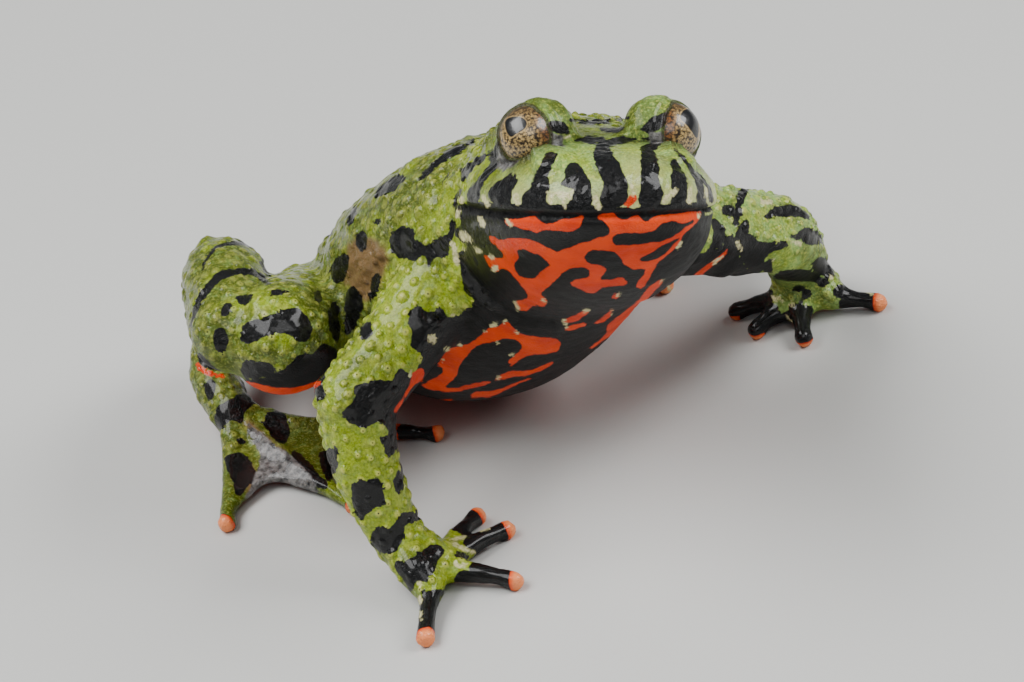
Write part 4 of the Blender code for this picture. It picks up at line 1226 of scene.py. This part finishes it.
def drawn_fields(co, head, finger, lid):
    """Fields of the markings that the front view shows."""
    above = above_mouth(head)
    behind, ahead = UNDER_DEPTHS
    chin = smooth_step(*UNDER_FADE, head[:, 1]) * (ahead - behind) + behind
    under = np.minimum(np.minimum(-above - UNDER_START, chin), UNDER_HALF - np.abs(head[:, 0]))
    lips = np.minimum(LIP_HALF - np.abs(above), LIP_BACK - head[:, 1])
    return {
        "dark": np.maximum.reduce([drawn_field(co, DARK), under, lips, finger]),
        "orange": np.minimum(drawn_field(co, ORANGE), -drawn_field(co, HOLES)),
        # Cream spots, and a few painted highlights on the fingers
        "cream": drawn_field(co, CREAM_AND_HIGHLIGHTS),
        "tan": drawn_field(co, TAN),
        "lid": np.maximum(drawn_field(co, LID), lid),
    }


def loose_fields(co, out, head, toe, lid):
    """Fields of seeded blotches above, and of orange and cream on the black below."""
    throat = -above_mouth(head) * smooth_step(THROAT_BACK, 0.0, head[:, 1]) * THROAT_STEEP
    belly = (-out[:, 2] - BELLY_TURN) * BELLY_STEEP + cut_noise(co, *BELLY_EDGE)
    belly = np.maximum(belly, np.where(head[:, 1] < THROAT_BACK, throat, -REACH))
    specks = CREAM_HALF - np.abs(belly - CREAM_MIDDLE)
    return {
        "dark": np.maximum.reduce([belly, cut_noise(co, *BLOTCHES), toe]),
        "orange": np.minimum(cut_noise(co, *VEINS), belly - ORANGE_INSET),
        "cream": np.minimum(cut_noise(co, *FLECKS), specks),
        "tan": np.full(len(co), -REACH),
        "lid": lid,
    }


def marking_fields(co, out, seen):
    """Every marking's field at each point: drawn where the front view sees it, noise elsewhere."""
    head = in_head(co)
    lid = under_lid_field(co)
    tip, finger, toe = limb_end_fields(co)
    loose = loose_fields(co, out, head, toe, lid)
    fields = {
        name: blended(drawn, loose[name], seen)
        for name, drawn in drawn_fields(co, head, finger, lid).items()
    }
    fields["pad"] = np.clip(tip, -EDGE, EDGE)
    fields["orange"] = np.maximum(fields["orange"], fields["pad"])
    return fields


def tint_fields(co):
    """Where the green is paler, cooler and darker, with painted shade and painted light."""
    head = in_head(co)
    x, y, z = head.T
    above = above_mouth(head)
    low_fade, lip_fade = LIP_FADES
    near = smooth_step(*low_fade, above) * smooth_step(*lip_fade, above)
    ridge = bell((x, *RIDGE_BAND))
    near = np.maximum(near, ridge * smooth_step(*RIDGE_FADE, above) * RIDGE_SHARE)
    face = smooth_step(*COOL_FADES[0], y) * smooth_step(*COOL_FADES[1], above)
    crown = smooth_step(*CROWN_FADES[0], z) * smooth_step(*CROWN_FADES[1], y)
    arm = smooth_step(*ARM_FADES[0], co[:, 0]) * smooth_step(*ARM_FADES[1], co[:, 1])
    # Painted light: brighter green round the LIT spots
    spots = in_picture(co)[0].T
    lit = [bell((spots[0], x, wide), (spots[1], y, high)) for x, y, wide, high in LIT]
    return {
        "pale": near * smooth_step(*PALE_FADE, head[:, 1]),
        "cool": np.maximum(face * (1 - RIDGE_WARMTH * ridge), arm),
        # Darker on the crown, and darker towards the rear as painted shade; the lit spots take
        # painted light off it
        "shade_and_light": np.maximum(smooth_step(*REAR_FADE, co[:, 1]), crown)
        - LIT_SHARE * np.maximum.reduce(lit),
    }


def gloss_weight(co, out):
    """1 on the wet upper side, 0 on the belly and along the lips."""
    head = in_head(co)
    x, y, z = head.T
    lips = bell((above_mouth(head), *DRY_LIPS)) * (y < DRY_LIPS_BACK)
    crown = bell((x, *DRY_CROWN_ACROSS), (y, *DRY_CROWN_ALONG)) * (z > DRY_CROWN_FOOT)
    return smooth_step(*GLOSS_FADE, out[:, 2]) * (1 - lips) * (1 - DRY_CROWN_SHARE * crown)


class TOAD_OT_skin(bpy.types.Operator):
    """One skin over the flesh: remeshed, smoothed, and shaped at the lids, lips and nostrils"""

    bl_idname = "toad.skin"
    bl_label = "Skin"

    def execute(self, context):
        settings = context.scene.toad_skin
        swell = settings.swell / MM
        shift = stance_shift()
        skin = flesh_copy(shift, swell)
        modifier(skin, "fuse", "REMESH", mode="VOXEL", voxel_size=settings.cell / MM)
        modifier(skin, "shrink", "DISPLACE", strength=-swell, mid_level=0.0)
        mesh = skin.data
        even_out(mesh, settings.smooth_rounds)
        refine(skin, on_face)
        even_out(mesh, FACE_ROUNDS, on_face(coordinates(mesh)).astype(float))
        refine(skin, near_eye)
        soften(mesh)
        lower_snout(mesh)
        push_out(mesh, surface_relief(coordinates(mesh), normals(mesh)))
        push_out(mesh, face_relief(coordinates(mesh)))
        co = shape_lids(coordinates(mesh))
        co[:, 2] = np.maximum(co[:, 2], 0.0)
        set_coordinates(mesh, co)
        out = normals(mesh)
        fields = marking_fields(co, out, seen_weight(mesh))
        fields.update(tint_fields(co))
        fields["pebble"] = pebble_weight(co, out)
        fields["rim"] = lid_rim(co)
        fields["gloss"] = gloss_weight(co, out)
        for name, values in fields.items():
            add_field(mesh, name, values)
        mesh.materials.append(skin_material(context.scene.toad_colours))
        finish_piece(skin, shift, FLESH)
        return {"FINISHED"}


# Warts


def wart_places(co, weight, apart, rng):
    """Seeded places on the warty skin, no two closer than the given distance."""
    order = [i for i in np.nonzero(weight > WART_LEAST)[0] if rng.random() < weight[i] ** 2]
    rng.shuffle(order)
    taken = {}
    chosen = []
    for i in order:
        key = tuple(int(v // apart) for v in co[i])
        near = (
            taken.get((key[0] + a, key[1] + b, key[2] + c), ())
            for a in (-1, 0, 1)
            for b in (-1, 0, 1)
            for c in (-1, 0, 1)
        )
        if all(np.linalg.norm(co[i] - q) >= apart for cell in near for q in cell):
            taken.setdefault(key, []).append(co[i])
            chosen.append(i)
    return chosen


def wart_dome(place, up, radius, height, tree):
    """Points of a low dome that stands on the skin, and each one's share of its height."""
    across = up.orthogonal().normalized()
    beside = up.cross(across)
    points = [place + up * height]
    shares = [1.0]
    for reach in WART_RINGS:
        rise = height * math.cos(math.pi / 2 * min(reach, 1.0)) ** WART_ROUNDNESS
        sink = WART_SINK if reach == WART_RINGS[-1] else 0.0
        for k in range(WART_SIDES):
            turn = 2 * math.pi * k / WART_SIDES
            way = across * math.cos(turn) + beside * math.sin(turn)
            foot, normal = tree.find_nearest(place + way * radius * reach)[:2]
            points.append(foot + up * rise - normal * sink)
            shares.append(rise / height)
    return points, shares


def dome_faces():
    """A dome's faces: a fan round its top, then a belt of four-sided faces below each ring."""
    faces = [(0, 1 + k, 1 + (k + 1) % WART_SIDES) for k in range(WART_SIDES)]
    for ring in range(len(WART_RINGS) - 1):
        upper = 1 + ring * WART_SIDES
        lower = upper + WART_SIDES
        for k in range(WART_SIDES):
            after = (k + 1) % WART_SIDES
            faces.append((upper + k, lower + k, lower + after, upper + after))
    return faces


def copy_fields(source, source_co, target):
    """Gives each vertex the fields of the source vertex nearest to it."""
    finder = KDTree(len(source_co))
    for i, point in enumerate(source_co):
        finder.insert(point, i)
    finder.balance()
    nearest = np.array([finder.find(point)[1] for point in coordinates(target)])
    for name in SKIN_FIELDS:
        add_field(target, name, field_values(source, name)[nearest])


class TOAD_OT_warts(bpy.types.Operator):
    """Small warts scattered over the back and limbs, joined in one mesh"""

    bl_idname = "toad.warts"
    bl_label = "Warts"

    def execute(self, context):
        settings = context.scene.toad_warts
        skin = bpy.data.objects["skin"].data
        shift = stance_shift()
        co = coordinates(skin) / MM - np.array(shift)
        out = normals(skin)
        black = smooth_step(*BLACK_FADE, field_values(skin, "dark"))
        weight = pebble_weight(co, out) * (1 - BLACK_LOSS * black)
        weight *= 1 - RUMP_LOSS * smooth_step(*RUMP_FADE, co[:, 1])
        rng = random.Random(settings.seed)
        tree = face_tree(skin, co)
        verts = []
        faces = []
        bumps = []
        for i in wart_places(co, weight, settings.apart / MM, rng):
            radius = settings.radius / MM * rng.uniform(*WART_RADII)
            height = settings.height / MM * rng.uniform(*WART_HEIGHTS) * weight[i]
            up = Vector(out[i]).normalized()
            points, shares = wart_dome(Vector(co[i]), up, radius, height, tree)
            faces.extend(tuple(len(verts) + k for k in face) for face in dome_faces())
            verts.extend(points)
            bumps.extend(shares)
        mesh = bpy.data.meshes.new("warts")
        mesh.from_pydata(verts, [], faces)
        warts = new_object("warts", mesh)
        edit_mesh(warts, bpy.ops.mesh.normals_make_consistent, inside=False)
        copy_fields(skin, co, mesh)
        add_field(mesh, "bump", bumps)
        mesh.materials.append(skin.materials[0])
        finish_piece(warts, shift)
        return {"FINISHED"}


# Eyes


class TOAD_OT_eyes(bpy.types.Operator):
    """Two polished eyeballs with a bronze iris and a black pupil"""

    bl_idname = "toad.eyes"
    bl_label = "Eyes"

    def execute(self, context):
        shift = stance_shift()
        material = eye_material(context.scene.toad_colours)
        back = np.array(view_axes()[0])
        for word, side in zip(("right", "left"), SIDES):
            ball = new_ball("eyeball_" + word, EYE_BALL, side, EYE_CUTS)
            mesh = ball.data
            co = coordinates(mesh)
            way = (co - np.array(eye_centre(side))) / EYE_BALL
            axis, nose, up = lid_frame(side)
            add_field(mesh, "pupil", np.where(way @ back > 0, drawn_field(co, PUPIL), -REACH))
            add_field(mesh, "across", way @ nose)
            add_field(mesh, "upward", way @ up)
            add_field(mesh, "forward", way @ axis)
            mesh.materials.clear()
            mesh.materials.append(material)
            finish_piece(ball, shift, ("eye_" + word,))
        return {"FINISHED"}


# Materials


class Nodes:
    """A node tree, with short calls for what the materials repeat."""

    # Places of a mix node's factor, colours and mixed colour among its sockets
    MIX_FACTOR = 0
    MIX_COLOURS = (6, 7)
    MIX_RESULT = 2

    def __init__(self, tree):
        self.tree = tree

    def feed(self, made, inputs):
        """Sets a node's inputs; each is a value or another node's output."""
        for key, value in inputs.items():
            if isinstance(value, bpy.types.NodeSocket):
                self.tree.links.new(value, made.inputs[key])
            else:
                made.inputs[key].default_value = value

    def add(self, kind, inputs=None, **settings):
        made = self.tree.nodes.new(kind)
        for key, value in settings.items():
            setattr(made, key, value)
        self.feed(made, inputs or {})
        return made

    def math(self, operation, *values):
        inputs = dict(enumerate(values))
        return self.add("ShaderNodeMath", inputs, operation=operation).outputs[0]

    def times(self, first, second):
        return self.math("MULTIPLY", first, second)

    def scaled(self, value, gain, offset):
        return self.math("MULTIPLY_ADD", value, gain, offset)

    def inverse(self, value):
        return self.math("SUBTRACT", 1.0, value)

    def ramp(self, value, low, high):
        """0 up to the low value and 1 from the high one, smooth between."""
        inputs = {"Value": value, "From Min": low, "From Max": high}
        made = self.add("ShaderNodeMapRange", inputs, interpolation_type="SMOOTHSTEP")
        return made.outputs["Result"]

    def layered(self, colour, *layers):
        """Lays colours over one another, each by its mask."""
        for mask, over in layers:
            inputs = dict(zip(self.MIX_COLOURS, (colour, over)))
            inputs[self.MIX_FACTOR] = mask
            made = self.add("ShaderNodeMix", inputs, data_type="RGBA")
            colour = made.outputs[self.MIX_RESULT]
        return colour

    def field(self, name):
        return self.add("ShaderNodeAttribute", attribute_name=name).outputs["Fac"]

    def cloud(self, vector, scale, detail, **more):
        inputs = {"Vector": vector, "Scale": scale, "Detail": detail, **more}
        return self.add("ShaderNodeTexNoise", inputs).outputs["Fac"]

    def bump(self, height, strength, distance):
        inputs = {"Height": height, "Strength": strength, "Distance": distance}
        return self.add("ShaderNodeBump", inputs).outputs["Normal"]


def new_group(name, inputs, outputs):
    """An empty group, as its nodes, its input node's sockets and its output node."""
    group = bpy.data.node_groups.new(name, "ShaderNodeTree")
    for key, default in inputs.items():
        kind = "NodeSocketVector" if default is None else "NodeSocketFloat"
        socket = group.interface.new_socket(key, in_out="INPUT", socket_type=kind)
        if default is not None:
            socket.default_value = default
    for key in outputs:
        group.interface.new_socket(key, in_out="OUTPUT", socket_type="NodeSocketFloat")
    nodes = Nodes(group)
    return nodes, nodes.add("NodeGroupInput").outputs, nodes.add("NodeGroupOutput")


def edge_group():
    """Turns a marking's field into a mask with a crisp, slightly ragged edge."""
    inputs = {"Field": 0.0, "Vector": None, "Grain": 3.0, "Ragged": 0.2, "Soft": 0.04}
    nodes, given, end = new_group("ragged_edge", inputs, ("Mask",))
    grain = nodes.cloud(given["Vector"], given["Grain"], 3.0)
    centred = nodes.math("SUBTRACT", grain, 0.5)
    shaken = nodes.scaled(centred, given["Ragged"], given["Field"])
    mask = nodes.ramp(shaken, nodes.times(given["Soft"], -1.0), given["Soft"])
    nodes.feed(end, {"Mask": mask})
    return nodes.tree


def bead_group():
    """Height of fine beads over the skin."""
    inputs = {"Vector": None, "Scale": 1.5}
    nodes, given, end = new_group("skin_beads", inputs, ("Height",))
    cells = {"Vector": given["Vector"], "Scale": given["Scale"], "Randomness": 0.85}
    gap = nodes.add("ShaderNodeTexVoronoi", cells).outputs["Distance"]
    nodes.feed(end, {"Height": nodes.inverse(nodes.ramp(gap, 0.05, 0.62))})
    return nodes.tree


def new_material(name):
    """A material, its nodes, its shader, and a vector to its surface in millimetres."""
    material = bpy.data.materials.new(name)
    material.use_nodes = True
    material.node_tree.nodes.clear()
    nodes = Nodes(material.node_tree)
    shader = nodes.add("ShaderNodeBsdfPrincipled")
    nodes.add("ShaderNodeOutputMaterial", {"Surface": shader.outputs["BSDF"]})
    place = nodes.add("ShaderNodeTexCoord").outputs["Object"]
    vector = nodes.add("ShaderNodeVectorMath", {0: place, "Scale": 1 / MM}, operation="SCALE")
    return material, nodes, shader, vector.outputs["Vector"]


def green_colour(nodes, colours, vector, patches, fine, grain, beads):
    """Olive and leaf green with paler flecks, pale tops of the warts and their dark pores."""
    shade_and_light = nodes.field("shade_and_light")
    cool = nodes.field("cool")
    raised = nodes.field("bump")
    # The painted shade and light of the tint fields, with random patches, turn the green between
    # olive and leaf and dim the wart tops
    shade = nodes.scaled(shade_and_light, -0.26, patches)
    cloud = nodes.scaled(nodes.ramp(nodes.cloud(vector, 0.85, 3.0), 0.38, 0.62), 0.62, 0.18)
    light = nodes.times(nodes.ramp(fine, 0.5, 0.7), nodes.scaled(cool, 0.35, 0.3))
    speck = nodes.times(nodes.ramp(grain, 0.5, 0.68), nodes.scaled(cool, 0.3, 0.24))
    murk = nodes.times(nodes.ramp(grain, 0.48, 0.33), 0.45)
    tip = nodes.times(nodes.ramp(raised, 0.45, 0.95), 0.6)
    tip = nodes.times(tip, nodes.scaled(shade_and_light, -0.5, 1.0))
    pore = nodes.times(nodes.ramp(raised, 0.88, 0.97), nodes.ramp(fine, 0.38, 0.58))
    return nodes.layered(
        colours.olive,
        (nodes.ramp(shade, 0.25, 0.6), colours.leaf),
        (nodes.times(cool, cloud), colours.mint),
        (light, colours.mint),
        (speck, colours.wart),
        (murk, colours.olive),
        (nodes.math("MAXIMUM", nodes.times(beads, 0.25), tip), colours.wart),
        (nodes.times(nodes.field("pale"), 0.5), colours.cream),
        (pore, colours.black),
    )


def marked_colour(nodes, colours, vector, green, patches, fine, grain):
    """The markings over the green, each with its own mask."""
    edge = edge_group()
    masks = {}
    for name, (size, ragged, soft) in EDGES.items():
        inputs = {"Field": nodes.field(name), "Vector": vector}
        inputs.update({"Grain": size, "Ragged": ragged, "Soft": soft})
        masks[name] = nodes.add("ShaderNodeGroup", inputs, node_tree=edge).outputs["Mask"]
    # The pads' paler orange is partly their own colour and partly a painted highlight
    pad = nodes.times(nodes.ramp(nodes.field("pad"), -0.05, 0.4), 0.8)
    fire = (nodes.ramp(patches, 0.3, 0.7), colours.ember)
    blaze = nodes.layered(colours.orange, fire, (pad, colours.pad))
    freckle = nodes.times(nodes.ramp(grain, 0.5, 0.38), 0.4)
    return nodes.layered(
        green,
        (masks["tan"], colours.tan),
        (masks["dark"], colours.black),
        (masks["orange"], blaze),
        (masks["cream"], nodes.layered(colours.cream, (freckle, colours.leaf))),
        (masks["lid"], nodes.layered(colours.black, (nodes.ramp(fine, 0.25, 0.75), colours.lid))),
        (nodes.times(nodes.field("rim"), 0.8), colours.vein),
    )


def skin_material(colours):
    """Wet skin: the green and its markings under a clear film, with creases and beads."""
    material, nodes, shader, vector = new_material("toad_skin")
    patches = nodes.cloud(vector, 0.5, 4.0)
    fine = nodes.cloud(vector, 2.4, 5.0)
    grain = nodes.cloud(vector, 6.5, 3.0)
    inputs = {"Vector": vector, "Scale": 1.35}
    bead = nodes.add("ShaderNodeGroup", inputs, node_tree=bead_group()).outputs["Height"]
    beads = nodes.times(bead, nodes.field("pebble"))
    green = green_colour(nodes, colours, vector, patches, fine, grain, beads)
    gloss = nodes.field("gloss")
    dry_rim = nodes.scaled(nodes.field("rim"), -0.7, 1.0)
    wrinkle = nodes.cloud(vector, 4.6, 4.0, Distortion=1.4)
    crease = nodes.times(wrinkle, nodes.scaled(gloss, 0.8, 0.2))
    height = nodes.math("ADD", crease, nodes.times(beads, 0.6))
    look = {
        "Base Color": marked_colour(nodes, colours, vector, green, patches, fine, grain),
        "Roughness": nodes.scaled(fine, 0.16, nodes.scaled(gloss, -0.28, 0.42)),
        "IOR": 1.24,
        "Coat Weight": nodes.times(nodes.scaled(gloss, 0.4, 0.01), dry_rim),
        "Coat Roughness": 0.11,
        "Subsurface Weight": 0.06,
        "Subsurface Radius": (0.9, 0.5, 0.2),
        "Subsurface Scale": 0.0006,
        "Normal": nodes.bump(height, 0.75, 0.0002),
    }
    nodes.feed(shader, look)
    return material


def eye_material(colours):
    """A speckled bronze iris with dark veins, and a black pupil in a thin gold ring."""
    material, nodes, shader, _ = new_material("toad_eye")
    across = nodes.field("across")
    upward = nodes.field("upward")
    forward = nodes.field("forward")
    axes = {"X": across, "Y": upward, "Z": forward}
    place = nodes.add("ShaderNodeCombineXYZ", axes).outputs["Vector"]
    specks = nodes.cloud(place, 11.0, 6.0, Roughness=0.7)
    cells = {"Vector": place, "Scale": 9.0, "Randomness": 1.0}
    veins = nodes.add("ShaderNodeTexVoronoi", cells, feature="DISTANCE_TO_EDGE")
    # Random bronze tone, and painted shade of the upper lid: the iris darkens towards its top
    depth = nodes.scaled(nodes.cloud(place, 3.0, 3.0), 0.9, upward)
    thread = nodes.inverse(nodes.ramp(veins.outputs["Distance"], 0.02, 0.1))
    pupil = nodes.field("pupil")
    iris = nodes.layered(
        colours.gold,
        (nodes.ramp(depth, 0.2, 1.3), colours.bronze),
        (nodes.ramp(across, 0.36, 0.66), colours.corner),
        (nodes.ramp(specks, 0.44, 0.56), colours.vein),
        (nodes.times(thread, 0.75), colours.vein),
        (nodes.times(nodes.ramp(pupil, -0.08, -0.05), 0.45), colours.gold),
        (nodes.ramp(pupil, -0.02, 0.02), colours.pupil),
    )
    look = {
        "Base Color": iris,
        "Roughness": 0.3,
        "Coat Weight": 0.55,
        "Coat Roughness": 0.03,
        "Normal": nodes.bump(specks, 0.3, 0.00005),
    }
    nodes.feed(shader, look)
    return material


# Stage


def soft_light(name, place, aim, width, height, power):
    light = bpy.data.lights.new(name, "AREA")
    light.shape = "RECTANGLE"
    light.size = width
    light.size_y = height
    light.energy = power
    lamp = new_object(name, light)
    lamp.location = place
    lamp.rotation_euler = (aim - place).to_track_quat("-Z", "Y").to_euler()


def front_camera(aim):
    back, right, up = view_axes()
    lens = bpy.data.cameras.new("front")
    lens.sensor_fit = "HORIZONTAL"
    lens.sensor_width = SENSOR
    lens.lens = PICTURE_FOCUS * SENSOR / PICTURE[0]
    lens.clip_start = 0.01
    lens.clip_end = 10.0
    camera = new_object("front", lens)
    turn = Matrix((right, up, back)).transposed()
    camera.matrix_world = Matrix.Translation(aim + back * VIEW_DISTANCE * MM) @ turn.to_4x4()
    return camera


class TOAD_OT_stage(bpy.types.Operator):
    """Pale floor, soft studio lights, a grey surround and the front camera"""

    bl_idname = "toad.stage"
    bl_label = "Stage"

    def execute(self, context):
        settings = context.scene.toad_stage
        deselect()
        bpy.ops.mesh.primitive_plane_add(size=settings.floor_size)
        floor = bpy.context.object
        floor.name = "floor"
        material, nodes, shader, _ = new_material("pale_floor")
        nodes.feed(shader, {"Base Color": settings.floor_colour, "Roughness": 0.6})
        floor.data.materials.append(material)
        world = bpy.data.worlds.new("surround")
        world.use_nodes = True
        surround = world.node_tree.nodes["Background"]
        surround.inputs["Color"].default_value = settings.surround_colour
        surround.inputs["Strength"].default_value = settings.surround_strength
        context.scene.world = world
        back, right, up = view_axes()
        aim = (VIEW_AIM + stance_shift()) * MM
        for name, (way, distance, width, height, share) in LIGHTS.items():
            place = aim + (back * way[0] + right * way[1] + up * way[2]) * distance
            soft_light(name, place, aim, width, height, settings.light_power * share)
        context.scene.camera = front_camera(aim)
        return {"FINISHED"}


# Settings


def colour_setting(name, description, default):
    return bpy.props.FloatVectorProperty(
        name=name,
        description=description,
        default=(*default, 1.0),
        size=4,
        min=0.0,
        max=1.0,
        subtype="COLOR",
    )


def length_setting(name, description, default):
    return bpy.props.FloatProperty(
        name=name,
        description=description,
        default=default,
        unit="LENGTH",
        precision=5,
    )


class ToadSkinSettings(bpy.types.PropertyGroup):
    cell: length_setting("Cell", "Side of one cell of the skin's mesh", 0.0003)
    swell: length_setting("Swell", "How far the parts swell to close their cuts", 0.0002)
    smooth_rounds: bpy.props.IntProperty(
        name="Smoothing", description="Rounds of even smoothing", default=24, min=0
    )


class ToadWartSettings(bpy.types.PropertyGroup):
    apart: length_setting("Apart", "Least distance between two warts", 0.00074)
    radius: length_setting("Radius", "Mean radius of a wart", 0.00042)
    height: length_setting("Height", "Mean height of a wart", 0.00017)
    seed: bpy.props.IntProperty(name="Seed", description="Seed of the scatter", default=7)


class ToadColours(bpy.types.PropertyGroup):
    olive: colour_setting("Olive", "Deeper green of the skin", (0.065, 0.09, 0.004))
    leaf: colour_setting("Leaf", "Bright green of the skin", (0.25, 0.34, 0.008))
    mint: colour_setting("Mint", "Paler flecks of the skin", (0.27, 0.45, 0.13))
    wart: colour_setting("Wart", "Pale tops of the warts", (0.6, 0.62, 0.12))
    cream: colour_setting("Cream", "Pale spots", (0.68, 0.62, 0.34))
    black: colour_setting("Black", "Spots and the ground of the belly", (0.004, 0.004, 0.004))
    orange: colour_setting("Orange", "Fire of the belly", (0.82, 0.06, 0.0))
    ember: colour_setting("Ember", "Deeper orange", (0.6, 0.03, 0.0))
    tan: colour_setting("Tan", "Folds of the flank and the web", (0.19, 0.115, 0.045))
    lid: colour_setting("Lid", "Lower eyelid and web", (0.26, 0.25, 0.24))
    # Partly the pads' own colour and partly a painted highlight
    pad: colour_setting("Pad", "Pale orange of the finger tips", (0.95, 0.33, 0.12))
    gold: colour_setting("Gold", "Light part of the iris", (0.5, 0.34, 0.13))
    # Also put at the iris's top as painted shade of the upper lid
    bronze: colour_setting("Bronze", "Deep part of the iris", (0.2, 0.12, 0.04))
    corner: colour_setting("Corner", "Inner corner of the eye", (0.22, 0.085, 0.02))
    vein: colour_setting("Vein", "Specks of the iris", (0.02, 0.012, 0.006))
    pupil: colour_setting("Pupil", "Middle of the eye", (0.002, 0.002, 0.003))


class ToadStageSettings(bpy.types.PropertyGroup):
    floor_size: length_setting("Floor", "Side of the floor", 4.0)
    floor_colour: colour_setting("Floor colour", "Colour of the floor", (0.52, 0.52, 0.5))
    surround_colour: colour_setting("Surround", "Colour of the surround", (0.8, 0.86, 0.95))
    surround_strength: bpy.props.FloatProperty(
        name="Surround strength", description="Brightness of the surround", default=0.13
    )
    light_power: bpy.props.FloatProperty(
        name="Light power", description="Power of the key light", default=1.75, unit="POWER"
    )


# Each step's settings and operator, in the order in which they run
STEPS = (
    ("toad_skin", ToadSkinSettings, TOAD_OT_skin),
    ("toad_warts", ToadWartSettings, TOAD_OT_warts),
    ("toad_colours", ToadColours, TOAD_OT_eyes),
    ("toad_stage", ToadStageSettings, TOAD_OT_stage),
)


class TOAD_PT_panel(bpy.types.Panel):
    """The toad's pieces"""

    bl_label = "Toad"
    bl_idname = "TOAD_PT_panel"
    bl_space_type = "VIEW_3D"
    bl_region_type = "UI"
    bl_category = "Toad"

    def draw(self, context):
        for name, kind, operator in STEPS:
            box = self.layout.box()
            for key in kind.__annotations__:
                box.prop(getattr(context.scene, name), key)
            box.operator(operator.bl_idname)


def register():
    for name, settings, operator in STEPS:
        bpy.utils.register_class(settings)
        setattr(bpy.types.Scene, name, bpy.props.PointerProperty(type=settings))
        bpy.utils.register_class(operator)
    bpy.utils.register_class(TOAD_PT_panel)


def unregister():
    bpy.utils.unregister_class(TOAD_PT_panel)
    for name, settings, operator in reversed(STEPS):
        bpy.utils.unregister_class(operator)
        delattr(bpy.types.Scene, name)
        bpy.utils.unregister_class(settings)


def main():
    register()
    bpy.ops.toad.skin()
    bpy.ops.toad.warts()
    bpy.ops.toad.eyes()
    bpy.ops.toad.stage()


if __name__ == "__main__":
    main()
